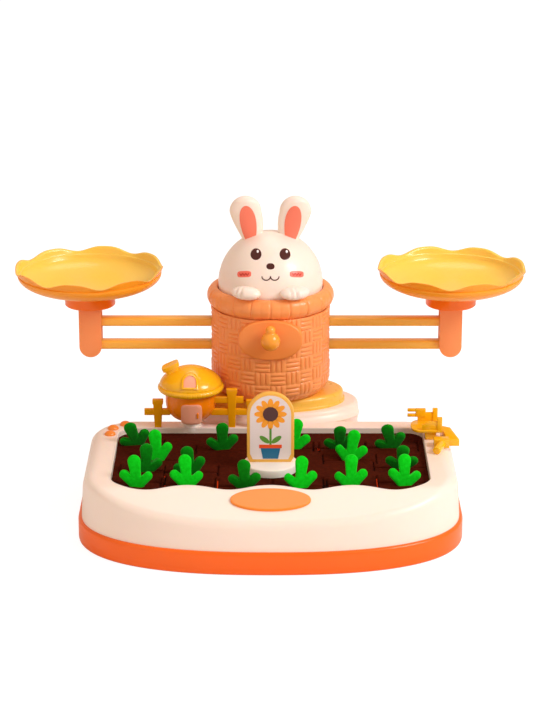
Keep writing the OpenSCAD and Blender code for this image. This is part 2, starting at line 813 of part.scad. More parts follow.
module basket_rim() color(peach) translate([0, 0, basket_top]) rotate_extrude() {
    out = basket_r + rim_out;
    mid = rim_h / 2;
    core = head_r + rim_core;
    inner = head_r + head_gap;
    skirt = basket_r - basket_t - skirt_gap;
    polygon(concat(
        [[inner - ledge_w, ledge_up], [skirt - skirt_t, ledge_up], [skirt - skirt_t, -skirt_h],
         [skirt, -skirt_h], [skirt, 0], [basket_r, 0]],
        [for (i = [1 : 12]) let (a = -62 + i * 152 / 12) [core + (out - core) * cos(a), mid + mid * sin(a)]],
        [[inner, rim_h - rim_core + head_gap], [inner, ledge_h], [inner - ledge_w, ledge_h]]
    ));
}

module column() color(cream) difference() {
    union() {
        translate([0, 0, basket_z + basket_t + column_foot_h / 2])
            cube([2 * column_foot, 2 * column_foot, column_foot_h], center = true);
        for (s = [-1, 1]) translate([-cheek_w / 2, s > 0 ? cheek_y : -cheek_y - cheek_t, basket_z + basket_t])
            cube([cheek_w, cheek_t, upper_z + hub_r - basket_z - basket_t]);
    }
    for (z = [upper_z, lower_z]) rod_y(0, z, axle_r + run_gap, -basket_r / 2, basket_r / 2);
    column_screw_holes(basket_z, 3 * column_foot_h);
}

module column_screws() color(steel) for (x = [-1, 1]) for (y = [-1, 1])
    translate([x * column_screw_spot, y * column_screw_spot, basket_z + basket_t + column_foot_h]) {
        cylinder(r = screw_head_r, h = screw_head_h);
        translate([0, 0, -column_foot_h - basket_t - column_screw_l])
            cylinder(r = screw_r, h = column_foot_h + basket_t + column_screw_l);
    }

module dial_plate() color("#FB8645") difference() {
    translate([0, -basket_r - dial_proud, upper_z - dial_drop]) rotate([-90, 0, 0])
        linear_extrude(dial_proud + basket_r / 4) polygon(oval(dial_a, dial_b));
    translate([0, 0, basket_z]) cylinder(r = basket_r + seat_gap, h = basket_h);
    rod_y(0, upper_z, axle_r + dial_gap, -2 * basket_r, 0);
}

// Round-edged bar with an eye at each end and a hub in the middle
module beam_blank(z) {
    translate([0, 0, z]) rotate([90, 0, 0]) linear_extrude(beam_w, center = true) difference() {
        union() {
            square([2 * arm_x, beam_h], center = true);
            for (s = [-1, 1]) translate([s * arm_x, 0]) circle(eye_r);
            circle(hub_r);
        }
        for (s = [-1, 1]) translate([s * arm_x, 0]) circle(pin_r + run_gap);
        circle(axle_r + run_gap);
    }
}

module upper_beam() color("#FF9A2E") beam_blank(upper_z);

// The lower beam has a hanging lug, which keeps the balance's weight below its pivot
module lower_beam() color("#FF9A2E") {
    beam_blank(lower_z);
    translate([-lug_w / 2, -beam_w / 2, lower_z - hub_r - lug_l + lug_join]) cube([lug_w, beam_w, lug_l]);
}

module upper_axle() color(steel) rod_y(0, upper_z, axle_r, -knob_y, axle_end);
module lower_axle() color(steel) rod_y(0, lower_z, axle_r, -axle_end, axle_end);

module pointer_knob() color("#FDB04A") difference() {
    union() {
        translate([0, -knob_y, upper_z]) sphere(knob_r);
        translate([0, -knob_y, upper_z + knob_r - nub_h / 4]) cylinder(r = nub_r, h = nub_h);
        translate([0, -knob_y, upper_z + knob_r + nub_h * 3 / 4]) sphere(nub_r);
    }
    rod_y(0, upper_z, axle_r + seat_gap, -knob_y, 0);
}

// Post with an open side for the beam ends, blind pin holes from the back and a spigot on top
module post(s) color("#F98A5A") translate([s * arm_x, 0, 0]) difference() {
    union() {
        translate([0, 0, lower_z]) rotate([90, 0, 0]) cylinder(r = post_w / 2, h = post_t, center = true);
        translate([-post_w / 2, -post_t / 2, lower_z]) cube([post_w, post_t, post_top - lower_z]);
        translate([0, 0, post_top]) cylinder(r = spigot_r, h = spigot_h);
    }
    translate([s > 0 ? -post_w : -eye_r - eye_gap, -post_slot / 2, lower_z - eye_r - eye_gap])
        cube([post_w + eye_r + eye_gap, post_slot, pivot_gap + 2 * eye_r + eye_gap + eye_over]);
    for (z = [upper_z, lower_z]) rod_y(0, z, pin_r + seat_gap, -post_t / 2 + pin_skin, post_t);
}
module post_pins(s) color(steel) for (z = [upper_z, lower_z])
    rod_y(s * arm_x, z, pin_r, -post_t / 2 + pin_skin, post_t / 2);

// Pan: collar with a socket, shallow bowl, crease and a petalled band
function bowl_point(t, r0, r1, z0, z1) = [r0 + (r1 - r0) * sin(t * 90), z0 + (z1 - z0) * (1 - cos(t * 90))];
module pan(s, turn) color(yellow) translate([s * arm_x, 0, post_top]) difference() {
    rotate_extrude() polygon(concat(
        [[spigot_r + seat_gap, 0], [collar_r, 0], [collar_r, collar_h - collar_edge]],
        [for (i = [0 : 10]) bowl_point(i / 10, collar_r, pan_crease_r, collar_h, pan_wall_z)],
        [[pan_r, pan_h], [pan_r - pan_t, pan_h]],
        [for (i = [10 : -1 : 0])
            bowl_point(i / 10, collar_r, pan_crease_r - pan_t, collar_h + pan_t, pan_wall_z + collar_edge)],
        [[0, collar_h + pan_t], [0, spigot_h + socket_clear], [spigot_r + seat_gap, spigot_h + socket_clear]]
    ));
    for (i = [0 : petals - 1]) rotate(turn + i * 360 / petals)
        translate([pan_r - petal_cut_r / 2, 0, pan_h - petal_dip + petal_cut_r]) rotate([0, 90, 0])
            cylinder(r = petal_cut_r, h = petal_cut_r);
}

module head() color(cream) difference() {
    translate([0, 0, head_z]) difference() {
        sphere(head_r, $fn = 96);
        sphere(head_r - head_t, $fn = 96);
    }
    translate([0, 0, basket_top + ledge_h - head_r])
        cube([3 * head_r, 3 * head_r, 2 * head_r], center = true);
    for (s = [-1, 1]) ear_peg(s, seat_gap);
}

module ear_peg(s, grow) {
    translate([s * ear_low_x, 0, head_z + head_r - peg_sink]) cylinder(r = peg_r + grow, h = peg_l);
}
module ear_panel(s, grow) {
    translate([0, grow - lining_y, 0]) rotate([90, 0, 0]) linear_extrude(ear_t) hull() {
        translate([s * ear_x, head_z + ear_rise - lining_drop]) circle(lining_r + grow, $fn = 32);
        translate([s * ear_low_x, ear_low_z + lining_drop]) circle(lining_low_r + grow, $fn = 32);
    }
}
module ear_blank(s) {
    hull() {
        translate([s * ear_x, 0, head_z + ear_rise]) scale([1, ear_t / 2 / ear_r, 1]) sphere(ear_r, $fn = 32);
        translate([s * ear_low_x, 0, ear_low_z]) scale([1, ear_t / 2 / ear_low_r, 1])
            sphere(ear_low_r, $fn = 32);
    }
}
module ear(s) color(cream) {
    difference() {
        ear_blank(s);
        translate([0, 0, head_z]) sphere(head_r + seat_gap, $fn = 96);
        ear_panel(s, seat_gap);
    }
    ear_peg(s, 0);
}
module ear_lining(s) color("#FF8068") difference() {
    intersection() {
        ear_blank(s);
        ear_panel(s, 0);
    }
    translate([0, 0, head_z]) sphere(head_r + seat_gap, $fn = 96);
}

// Paw that rests on the rolled rim against the head
module paw(s) color(cream) difference() {
    rotate(s * paw_turn) translate([0, -paw_reach, rim_top + paw_up]) hull() {
        for (k = [-1, 1]) translate([k * paw_spread, paw_step, -paw_step / 2])
            sphere(paw_r - paw_step, $fn = 32);
        sphere(paw_r, $fn = 32);
    }
    translate([0, 0, head_z]) sphere(head_r + seat_gap, $fn = 96);
    translate([0, 0, rim_top + seat_gap - head_r]) cube([4 * head_r, 4 * head_r, 2 * head_r], center = true);
}

// Sign: a plate with a round top in the slot of a round base that stands on the felt
module sign_outline() {
    translate([-sign_w / 2 + sign_in, 0]) square([sign_w - 2 * sign_in, sign_h - sign_w / 2]);
    translate([-sign_w / 2, sign_step]) square([sign_w, sign_h - sign_w / 2 - sign_step]);
    translate([0, sign_h - sign_w / 2]) circle(sign_w / 2);
}
module sign_plate() color("#F5B64A") translate([0, sign_y, felt_top + sign_foot_h]) {
    rotate([90, 0, 0]) linear_extrude(sign_t, center = true) sign_outline();
    translate([-sign_w / 4, -sign_t / 2, -sign_sink]) cube([sign_w / 2, sign_t, sign_sink + cut_over]);
}
module sign_base() color("white") translate([0, sign_y, felt_top]) difference() {
    union() {
        cylinder(r = sign_r, h = sign_foot_h - sign_edge);
        translate([0, 0, sign_foot_h - sign_edge]) cylinder(r = sign_r - sign_edge, h = sign_edge);
    }
    translate([-sign_w / 4 - seat_gap, -sign_t / 2 - seat_gap, sign_foot_h - sign_sink])
        cube([sign_w / 2 + 2 * seat_gap, sign_t + 2 * seat_gap, sign_sink + cut_over]);
}

function carrot_name(i) = str("carrot_", i < 9 ? "0" : "", i + 1);

lower_shell();
upper_shell();
shell_screws();
bed_plate();
soil_felt();
front_badge();
corner_studs();
house_body();
house_roof();
house_door();
house_window();
house_chimney();
garden_fence();
farm_cart();
basket_foot();
basket();
basket_rim();
column();
column_screws();
lower_axle();
dial_plate();
head();
ear(-1);  // ear_left
mirror([1, 0, 0]) ear(-1);  // ear_right
ear_lining(-1);  // ear_lining_left
mirror([1, 0, 0]) ear_lining(-1);  // ear_lining_right
paw(-1);  // paw_left
mirror([1, 0, 0]) paw(-1);  // paw_right
upper_beam();
upper_axle();
pointer_knob();
lower_beam();
post(-1);  // left_post
post_pins(-1);  // left_post_pins
post(1);  // right_post
post_pins(1);  // right_post_pins
pan(-1, 13);  // left_pan
pan(1, 40);  // right_pan
sign_plate();
sign_base();
for (i = [0 : len(carrots) - 1]) carrot(carrots[i]);
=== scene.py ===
"""Looks of the toy balance: moulded plastic, a felt bed and felt carrots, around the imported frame."""

import collections
import math

import bmesh
import bpy
import numpy as np
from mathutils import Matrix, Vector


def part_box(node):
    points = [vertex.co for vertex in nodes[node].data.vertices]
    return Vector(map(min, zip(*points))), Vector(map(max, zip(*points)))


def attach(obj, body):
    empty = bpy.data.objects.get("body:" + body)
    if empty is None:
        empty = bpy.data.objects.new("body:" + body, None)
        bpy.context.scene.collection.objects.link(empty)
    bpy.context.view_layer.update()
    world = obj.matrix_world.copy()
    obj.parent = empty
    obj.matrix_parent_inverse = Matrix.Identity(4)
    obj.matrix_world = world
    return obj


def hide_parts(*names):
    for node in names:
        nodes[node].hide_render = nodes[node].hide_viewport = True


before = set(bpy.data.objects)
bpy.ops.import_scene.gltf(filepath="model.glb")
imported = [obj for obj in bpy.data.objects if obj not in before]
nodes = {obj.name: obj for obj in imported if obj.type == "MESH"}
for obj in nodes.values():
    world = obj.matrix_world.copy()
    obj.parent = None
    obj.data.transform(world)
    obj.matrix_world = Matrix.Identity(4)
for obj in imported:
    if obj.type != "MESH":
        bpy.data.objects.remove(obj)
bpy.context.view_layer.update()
MM = 0.001
TAU = 2 * math.pi
WHITE_LIGHT = [1, 1, 1, 1]

# Photograph's camera, how steeply it looks down, and the light of its room
CAMERA_PLACE = (0, -1.714, 0.6484)
CAMERA_PITCH = math.radians(71.85)
CAMERA_LENS = 160
CAMERA_SENSOR = 36
CAMERA_SHIFT = -0.0009
LOOK_DOWN = 0.328
ROOM_LIGHT = [1, 0.8, 0.68, 1]
ROOM_STRENGTH = 0.66

# Tray, in millimetres, as the frame's shell has it
BOW_POWER = 2.4
TURN_Y = 130
TURN_BLEND = 40
TRAY_TOP = 48.8
TRAY_EDGE = 11
FRONT_EDGE = 5
SLOPE_TOP = 165.5
SLOPE_RUN = 3.136
BACK_EASE = 0.35
WALL_DRAFT = 1.3
TRAY_WALL = 2.6
TRAY_CORNER = 24
TRAY_HALF = 133.5
TRAY_FRONT = 206
TRAY_BACK = 27
TRAY_FOOT = 16.6
FOOT_PROUD = 2.4
CREASE = 0.35
PEDESTAL = (66, 37)
BED_HALF = 111.5
BED_BACK = 46
BED_DEPTH = 118
BED_CORNER = 12
LIP_FRONT = 165.2
LIP_CORNER = 15
LIP_ROUND = 0.8
WAVE = 3.0
WAVE_LENGTH = 57.3
FELT_TOP = 44
FELT_THICK = 3
FELT_SIDE = 3
FELT_FRONT = 4.6
FELT_RISE = 1.5
FELT_SWELL = 0.81
SLIT_HALF = 19
SLIT_DEPTH = 1.9

# Balance: where the posts stand, heights of the bars, and how far each pan's petals are turned, in degrees
SIDES = ((-1, "left"), (1, "right"))
PAN_TURNS = (13, 40)
ARM_X = 134.4
UPPER_Z = 117.5
LOWER_Z = 99.5

# Weave of the basket: blocks of three straps, turned from block to block
BASKET_R = 44.0
WEAVE_BLOCKS = 24
WEAVE_ROWS = 7
WEAVE_STRAPS = 3
WEAVE_DEPTH = 0.9
RIM_GROOVES = 20

# Rabbit's ears: middle across, height and radius of the round end and of the foot
EAR_HIGH = (18.4, 201.7, 11.8)
EAR_LOW = (14.0, 184.0, 8.4)
EAR_HALF = 4.7

# House
BOWL_HIGH = 14
BOWL_FOOT = 7
WALL_R = 18.7
ROOF_NOTCHES = 42
DOME_R = 23
DOME_POWER = 1.7

# Carrots: place across and along the bed as shares, lean back or forward, turn, leaf forward of the root
# and to the side of it, roll to the side, which way round the leaf is, and whether its leaf takes the lit
# green felt rather than the darker copy of it that paints shade on the leaf
Carrot = collections.namedtuple("Carrot", "across along lean turn forward aside roll facing bright")
CARROTS = [Carrot(*row) for row in (
    (-0.87, 0.212, -22, 6, 0, 0, 18, 1, False), (-0.726, 0.475, 14, -8, 0, 0, 8, 1, True),
    (-0.789, 0.644, -8, 10, 2, 0, 0, -1, False), (-0.834, 0.831, 6, -6, 7, 0, 7, -1, True),
    (-0.52, 0.669, -10, 5, 3, 1.7, 9, 1, False), (-0.52, 0.864, 14, 6, 3, 0, 4, -1, True),
    (-0.314, 0.314, -12, 4, -3, 0, 0, 1, False), (-0.161, 0.89, -10, -8, 3, 0, 0, 1, False),
    (0.17, 0.28, 12, -5, 0, -2.8, -9, 1, True), (0.448, 0.271, -26, 6, 0, 0, 2, 1, False),
    (0.529, 0.475, 14, -8, 0, -2.3, -9, 1, True), (0.753, 0.263, -20, 5, 0, 4.1, 14, 1, False),
    (0.83, 0.593, -24, -6, 2, 0, -6, 1, False), (0.839, 0.831, 6, 7, 5, 0, 0, -1, True),
    (0.502, 0.864, 14, -6, 3, 0, 0, 1, True), (0.197, 0.89, 12, 8, 3, -1.5, -6, 1, True),
)]
ROOT_LENGTH = 30
ROOT_RADIUS = 7.4
ROOT_DROP = 1.5
LEAF_THICK = 4


# Node trees

COLOUR, NUMBER, VECTOR = "NodeSocketColor", "NodeSocketFloat", "NodeSocketVector"
GEOMETRY, MATERIAL = "NodeSocketGeometry", "NodeSocketMaterial"


def set_inputs(tree, node, values):
    """Sets a node's inputs to plain values, or links outputs to them."""
    for key, value in values.items():
        if isinstance(value, bpy.types.NodeSocket):
            tree.links.new(value, node.inputs[key])
        else:
            node.inputs[key].default_value = value


def add_node(tree, kind, inputs=None, **settings):
    node = tree.nodes.new(kind)
    for name, value in settings.items():
        setattr(node, name, value)
    set_inputs(tree, node, inputs or {})
    return node


def new_group(name, kind, inputs, outputs):
    """An empty node tree with named inputs and outputs."""
    group = bpy.data.node_groups.new(name, kind)
    for label, socket_kind, value in inputs:
        socket = group.interface.new_socket(label, in_out="INPUT", socket_type=socket_kind)
        if value is not None:
            socket.default_value = value
    for label, socket_kind in outputs:
        group.interface.new_socket(label, in_out="OUTPUT", socket_type=socket_kind)
    return group, group.nodes.new("NodeGroupInput").outputs, group.nodes.new("NodeGroupOutput")


def math_node(tree, operation, a, b=0.0):
    return add_node(tree, "ShaderNodeMath", {0: a, 1: b}, operation=operation).outputs[0]


def times(tree, a, b):
    return math_node(tree, "MULTIPLY", a, b)


def plus(tree, a, b):
    return math_node(tree, "ADD", a, b)


def noise_node(tree, scale, detail, source):
    inputs = {"Scale": scale, "Detail": detail, "Vector": source}
    return add_node(tree, "ShaderNodeTexNoise", inputs).outputs["Fac"]


def mix_colour(tree, factor, a, b):
    return add_node(tree, "ShaderNodeMix", {0: factor, 6: a, 7: b}, data_type="RGBA").outputs[2]


def object_place(tree):
    return tree.nodes.new("ShaderNodeTexCoord").outputs["Object"]


def moulded_skin_group():
    """Flow marks, fine moulding grain and handling marks of injection-moulded plastic."""
    group, taken, given = new_group(
        "moulded_skin", "ShaderNodeTree",
        [("Colour", COLOUR, WHITE_LIGHT), ("Deep colour", COLOUR, WHITE_LIGHT), ("Roughness", NUMBER, 0.3)],
        [("Colour", COLOUR), ("Roughness", NUMBER), ("Height", NUMBER)])
    place = object_place(group)
    flow = times(group, noise_node(group, 28, 3, place), 0.18)
    grain = noise_node(group, 1500, 2, place)
    marks = noise_node(group, 240, 5, place)
    spread = times(group, math_node(group, "SUBTRACT", marks, 0.5), 0.05)
    set_inputs(group, given, {
        "Colour": mix_colour(group, flow, taken["Colour"], taken["Deep colour"]),
        "Roughness": plus(group, taken["Roughness"], spread),
        "Height": plus(group, grain, times(group, marks, 0.5))})
    return group


def felt_fibre_group():
    """Matted fibres of pressed felt."""
    group, taken, given = new_group(
        "felt_fibres", "ShaderNodeTree",
        [("Colour", COLOUR, WHITE_LIGHT), ("Fibre colour", COLOUR, WHITE_LIGHT), ("Scale", NUMBER, 1.0)],
        [("Colour", COLOUR), ("Height", NUMBER)])
    inputs = {0: object_place(group), "Scale": taken["Scale"]}
    place = add_node(group, "ShaderNodeVectorMath", inputs, operation="SCALE").outputs[0]
    clumps = times(group, noise_node(group, 420, 4, place), 0.6)
    fibres = times(group, noise_node(group, 2600, 3, place), 0.4)
    blotch = times(group, noise_node(group, 60, 2, place), 0.5)
    both = plus(group, clumps, fibres)
    sharp = times(group, math_node(group, "SUBTRACT", both, 0.36), 3)
    tinted = mix_colour(group, sharp, taken["Colour"], taken["Fibre colour"])
    set_inputs(group, given, {"Colour": mix_colour(group, blotch, tinted, taken["Colour"]), "Height": both})
    return group


def petal_tree():
    """Lifts a pan's rim into petals: the edge attribute says how far each point follows."""
    tree, taken, given = new_group(
        "petal_edge", "GeometryNodeTree",
        [("Geometry", GEOMETRY, None), ("Petals", NUMBER, 8.0), ("Dip", NUMBER, 0.0036),
         ("Turn", NUMBER, 0.0), ("Centre X", NUMBER, 0.0)],
        [("Geometry", GEOMETRY)])
    position = tree.nodes.new("GeometryNodeInputPosition").outputs[0]
    place = add_node(tree, "ShaderNodeSeparateXYZ", {0: position}).outputs
    across = math_node(tree, "SUBTRACT", place["X"], taken["Centre X"])
    angle = math_node(tree, "SUBTRACT", math_node(tree, "ARCTAN2", place["Y"], across), taken["Turn"])
    wave = math_node(tree, "COSINE", times(tree, angle, taken["Petals"]))
    dip = math_node(tree, "POWER", times(tree, plus(tree, wave, 1.0), 0.5), 1.6)
    edge = add_node(tree, "GeometryNodeInputNamedAttribute", {"Name": "edge"}, data_type="FLOAT")
    share = times(tree, edge.outputs["Attribute"], times(tree, dip, -1.0))
    offset = add_node(tree, "ShaderNodeCombineXYZ", {"Z": times(tree, share, taken["Dip"])})
    move = add_node(tree, "GeometryNodeSetPosition", {
        "Geometry": taken["Geometry"], "Offset": offset.outputs[0]})
    set_inputs(tree, given, {0: move.outputs[0]})
    return tree


def bead_tree():
    """A flattened bead on each point, for studs and the door handle."""
    tree, taken, given = new_group(
        "beads_on_points", "GeometryNodeTree",
        [("Geometry", GEOMETRY, None), ("Size", VECTOR, (0.004, 0.004, 0.003)),
         ("Material", MATERIAL, None)],
        [("Geometry", GEOMETRY)])
    bead = add_node(tree, "GeometryNodeMeshUVSphere", {"Segments": 20, "Rings": 10, "Radius": 1})
    spread = add_node(tree, "GeometryNodeInstanceOnPoints", {
        "Points": taken["Geometry"], "Instance": bead.outputs["Mesh"], "Scale": taken["Size"]})
    real = add_node(tree, "GeometryNodeRealizeInstances", {0: spread.outputs[0]})
    smooth = add_node(tree, "GeometryNodeSetShadeSmooth", {0: real.outputs[0]})
    dress = add_node(tree, "GeometryNodeSetMaterial", {0: smooth.outputs[0], "Material": taken["Material"]})
    set_inputs(tree, given, {0: dress.outputs[0]})
    return tree


MOULDED = moulded_skin_group()
FELT = felt_fibre_group()
PETALS = petal_tree()
BEADS = bead_tree()


# Colours and materials

def linear(hex_colour):
    """Linear red, green, blue and alpha of a colour written as RRGGBB."""
    parts = [int(hex_colour[i:i + 2], 16) / 255 for i in (0, 2, 4)]
    return [p / 12.92 if p <= 0.04045 else ((p + 0.055) / 1.055) ** 2.4 for p in parts] + [1]


def start_material(name):
    material = bpy.data.materials.new(name)
    material.use_nodes = True
    tree = material.node_tree
    return material, tree, tree.nodes["Principled BSDF"]


def bump_node(tree, height, strength, distance):
    return add_node(tree, "ShaderNodeBump", {
        "Strength": strength, "Distance": distance, "Height": height}).outputs["Normal"]


def plastic(name, colour, deep, roughness=0.3, glow=0.12, coat=0.15):
    """Glossy moulded plastic, a little translucent."""
    material, tree, shader = start_material(name)
    inputs = {"Colour": linear(colour), "Deep colour": linear(deep), "Roughness": roughness}
    skin = add_node(tree, "ShaderNodeGroup", inputs, node_tree=MOULDED).outputs
    set_inputs(tree, shader, {
        "Base Color": skin["Colour"], "Roughness": skin["Roughness"],
        "Normal": bump_node(tree, skin["Height"], 0.012, 0.0002), "Specular IOR Level": 0.35,
        "Coat Weight": coat, "Coat Roughness": 0.12, "Subsurface Weight": glow,
        "Subsurface Radius": (1, 0.45, 0.2), "Subsurface Scale": 0.004})
    return material


def felt(name, colour, fibre, scale=1.0, sheen=0.08):
    """Pressed felt with a faint sheen."""
    material, tree, shader = start_material(name)
    inputs = {"Colour": linear(colour), "Fibre colour": linear(fibre), "Scale": scale}
    fibres = add_node(tree, "ShaderNodeGroup", inputs, node_tree=FELT).outputs
    set_inputs(tree, shader, {
        "Base Color": fibres["Colour"], "Roughness": 0.92,
        "Normal": bump_node(tree, fibres["Height"], 0.5, 0.0006), "Specular IOR Level": 0.05,
        "Sheen Weight": sheen, "Sheen Roughness": 0.5})
    return material


def steel(name):
    """Turned steel of the axles, pins and screws."""
    material, tree, shader = start_material(name)
    brushed = noise_node(tree, 900, 4, object_place(tree))
    set_inputs(tree, shader, {
        "Base Color": mix_colour(tree, brushed, linear("8E9296"), linear("C8CCD0")), "Metallic": 1,
        "Roughness": plus(tree, times(tree, brushed, 0.2), 0.22)})
    return material


CREAM = plastic("cream_moulding", "FDECDE", "F8E2D0", 0.36)
ORANGE = plastic("orange_moulding", "FF6C08", "FF6004", 0.3)
PEACH = plastic("peach_moulding", "FFA05A", "FA924C", 0.36)
POST_PEACH = plastic("post_moulding", "FF9C5C", "FA8C48", 0.36)
# A pan is one yellow moulding: its outside and its collar take deeper orange copies of it as painted shade
PAN_INSIDE = plastic("pan_inside", "FFD254", "FFC844", 0.3, coat=0.25)
PAN_OUTSIDE_SHADE = plastic("pan_outside_painted_shade", "FFA428", "FF9818", 0.36, coat=0.1)
COLLAR_SHADE = plastic("collar_painted_shade", "FF7A08", "FA6E04", 0.3)
AMBER = plastic("amber_moulding", "FFC04E", "FFB43C", 0.3)
KNOB = plastic("knob_moulding", "FFA636", "FF9A2A", 0.26, coat=0.3)
DIAL = plastic("dial_moulding", "FF984A", "FC8C3C", 0.34)
FOOT = plastic("foot_moulding", "FFC954", "FFBC40", 0.28)
ROOF = plastic("roof_moulding", "FFBE14", "FFB008", 0.22, coat=0.4)
HOUSE = plastic("house_moulding", "FF8C06", "FF8004", 0.28, 0)
FENCE = plastic("fence_moulding", "FFB008", "FFA404", 0.26, 0)
SALMON = plastic("salmon_moulding", "FFB294", "FAA27E", 0.34)
CORAL = plastic("coral_moulding", "FF8266", "FA7258", 0.4)
BADGE = plastic("badge_moulding", "FF9230", "FF8826", 0.36)
STUD = plastic("stud_moulding", "FA9238", "F2842A", 0.3)
WHITE = plastic("white_moulding", "FBF4EA", "F4E9DA", 0.3)
SIGN_EDGE = plastic("sign_edge", "F8BC50", "F2AC3C", 0.4)
SIGN_FACE = plastic("sign_face", "F6E6E2", "F0DAD4", 0.3)
PRINT_BROWN = plastic("print_brown", "4A160E", "3C100A", 0.22, 0, 0.4)
PRINT_CHEEK = plastic("print_cheek", "FF7A66", "F66A56", 0.34, 0)
PRINT_CHEEK_LINE = plastic("print_cheek_line", "C83428", "BE2C20", 0.34, 0)
PRINT_WHITE = plastic("print_white", "FFFFFF", "FFFAF4", 0.2, 0)
PRINT_GREEN = plastic("print_green", "5C9A32", "4F8A28", 0.32, 0)
PRINT_BLUE = plastic("print_blue", "1F6E96", "185E84", 0.32, 0)
PRINT_RED = plastic("print_red", "F0521C", "E44512", 0.32, 0)
PRINT_GOLD = plastic("print_gold", "FFA51E", "FA9612", 0.32, 0)
# The leaves are one green felt: the darker copy is painted shade for leaves tilted away from the light
LEAF_BRIGHT = felt("leaf_felt_bright", "04C40E", "12EC28")
LEAF_SHADED = felt("leaf_felt_painted_shade", "037C08", "069C14")
ROOT_FELT = felt("root_felt", "F2641A", "FF8A3A")
SOIL = felt("soil_felt_brown", "3C0E04", "561C08", 0.8, 0)
# Near-black copy of the soil felt: painted shade inside the cuts
SLIT_SHADE = felt("slit_painted_shade", "120403", "200805", 0.8, 0)
SLIT_ROOT = felt("slit_orange", "D83A10", "F05018", 0.8, 0)
STEEL = steel("turned_steel")


# Outlines and solids, as points and faces in millimetres

def oval(cx, cy, a, b, steps=40, power=2.0):
    """Outline of an oval, squarer with a higher power."""
    outline = []
    for i in range(steps):
        c, s = math.cos(i * TAU / steps), math.sin(i * TAU / steps)
        x = cx + a * math.copysign(abs(c) ** (2 / power), c)
        outline.append((x, cy + b * math.copysign(abs(s) ** (2 / power), s)))
    return outline


def arc(centre, radius, start, end, steps):
    """Points of an arc, angles in degrees."""
    angles = [math.radians(start + (end - start) * i / steps) for i in range(steps + 1)]
    return [(centre[0] + radius * math.cos(a), centre[1] + radius * math.sin(a)) for a in angles]


def turned(a, b, angle):
    """A pair of coordinates turned by an angle."""
    return a * math.cos(angle) - b * math.sin(angle), a * math.sin(angle) + b * math.cos(angle)


def segment_gap(x, y, start, end):
    """Distance of places from a straight line between two points, and how far along it they are."""
    dx, dy = end[0] - start[0], end[1] - start[1]
    along = np.clip(((x - start[0]) * dx + (y - start[1]) * dy) / (dx * dx + dy * dy), 0, 1)
    return np.hypot(x - start[0] - along * dx, y - start[1] - along * dy), along


def polar_ring(reaches, z, x=0, y=0, start=0):
    """A flat ring round an upright axis, each of its points at its own reach."""
    turns = [i * TAU / len(reaches) + start for i in range(len(reaches))]
    return [(x + r * math.cos(turn), y + r * math.sin(turn), z) for r, turn in zip(reaches, turns)]


def level(outline, z):
    """An outline laid flat at a height."""
    return [(x, y, z) for x, y in outline]


def upright(outline, y):
    """An outline stood up at a depth."""
    return [(x, y, z) for x, z in outline]


def loft(rings, first=None, last=None, loop=False):
    """A skin through rings of equal length, with a pole or a cap at each end."""
    count = len(rings[0])
    verts = [tuple(p) for ring in rings for p in ring]
    faces = []
    spans = len(rings) if loop else len(rings) - 1
    for k in range(spans):
        a, b = k * count, ((k + 1) % len(rings)) * count
        for i in range(count):
            j = (i + 1) % count
            faces.append((a + i, a + j, b + j, b + i))
    for pole, base in ((first, 0), (last, (len(rings) - 1) * count)):
        if pole == "cap":
            faces.append(tuple(range(base, base + count)))
        elif pole is not None:
            verts.append(tuple(pole))
            faces += [(base + i, base + (i + 1) % count, len(verts) - 1) for i in range(count)]
    return verts, faces


def merge_parts(*parts):
    """Several point and face lists as one."""
    verts, faces = [], []
    for part_verts, part_faces in parts:
        start = len(verts)
        verts += list(part_verts)
        faces += [tuple(i + start for i in face) for face in part_faces]
    return verts, faces


def lathe(profile, x=0, y=0, steps=96):
    """Turned solid of (radius, height) points; it closes at its first and last points."""
    rings = [level(oval(x, y, r, r, steps), z) for r, z in profile]
    return loft(rings, (x, y, profile[0][1]), (x, y, profile[-1][1]))


def oval_stack(a, b, profile):
    """Rings of an oval solid of (inset, height) points."""
    return [level(oval(0, 0, a - inset, b - inset, 160), z) for inset, z in profile]


def prism_part(outline, near, far, place=upright):
    """A straight solid of an outline, stood up or laid flat."""
    return loft([place(outline, near), place(outline, far)], "cap", "cap")


def box_part(low, high):
    (x0, y0, z0), (x1, y1, z1) = low, high
    return prism_part([(x0, z0), (x1, z0), (x1, z1), (x0, z1)], y0, y1)


def tube_part(outer, inner, half):
    """A sleeve along Y between two outlines of equal length."""
    ends = ((outer, -half), (outer, half), (inner, half), (inner, -half))
    return loft([upright(outline, y) for outline, y in ends], loop=True)


def patch_ring(surface, outline, centre, share, lift):
    """An outline shrunk towards its centre and laid on a surface at a lift."""
    cx, cz = centre
    return [surface(cx + (x - cx) * share, cz + (z - cz) * share, lift) for x, z in outline]


def patch_part(surface, outline, centre, steps):
    """A patch on a surface, of (share, lift) steps from its middle on top to its middle underneath."""
    rings = [patch_ring(surface, outline, centre, share, lift) for share, lift in steps]
    return loft(rings, surface(*centre, steps[0][1]), surface(*centre, steps[-1][1]))


# Pieces

def add_object(name, data):
    """A new object in the scene."""
    piece = bpy.data.objects.new(name, data)
    bpy.context.scene.collection.objects.link(piece)
    return piece


def new_object(name, part, material, pick=None, smooth=50):
    """An object from points and faces, with its doubles merged and its faces turned outwards."""
    verts, faces = part
    mesh = bpy.data.meshes.new(name)
    mesh.from_pydata([[c * MM for c in v] for v in verts], [], faces)
    for each in material if isinstance(material, list) else [material]:
        mesh.materials.append(each)
    if pick:
        for polygon in mesh.polygons:
            polygon.material_index = pick(polygon)
    work = bmesh.new()
    work.from_mesh(mesh)
    bmesh.ops.remove_doubles(work, verts=work.verts, dist=1e-7)
    bmesh.ops.recalc_face_normals(work, faces=work.faces)
    work.to_mesh(mesh)
    work.free()
    return shade(add_object(name, mesh), smooth)


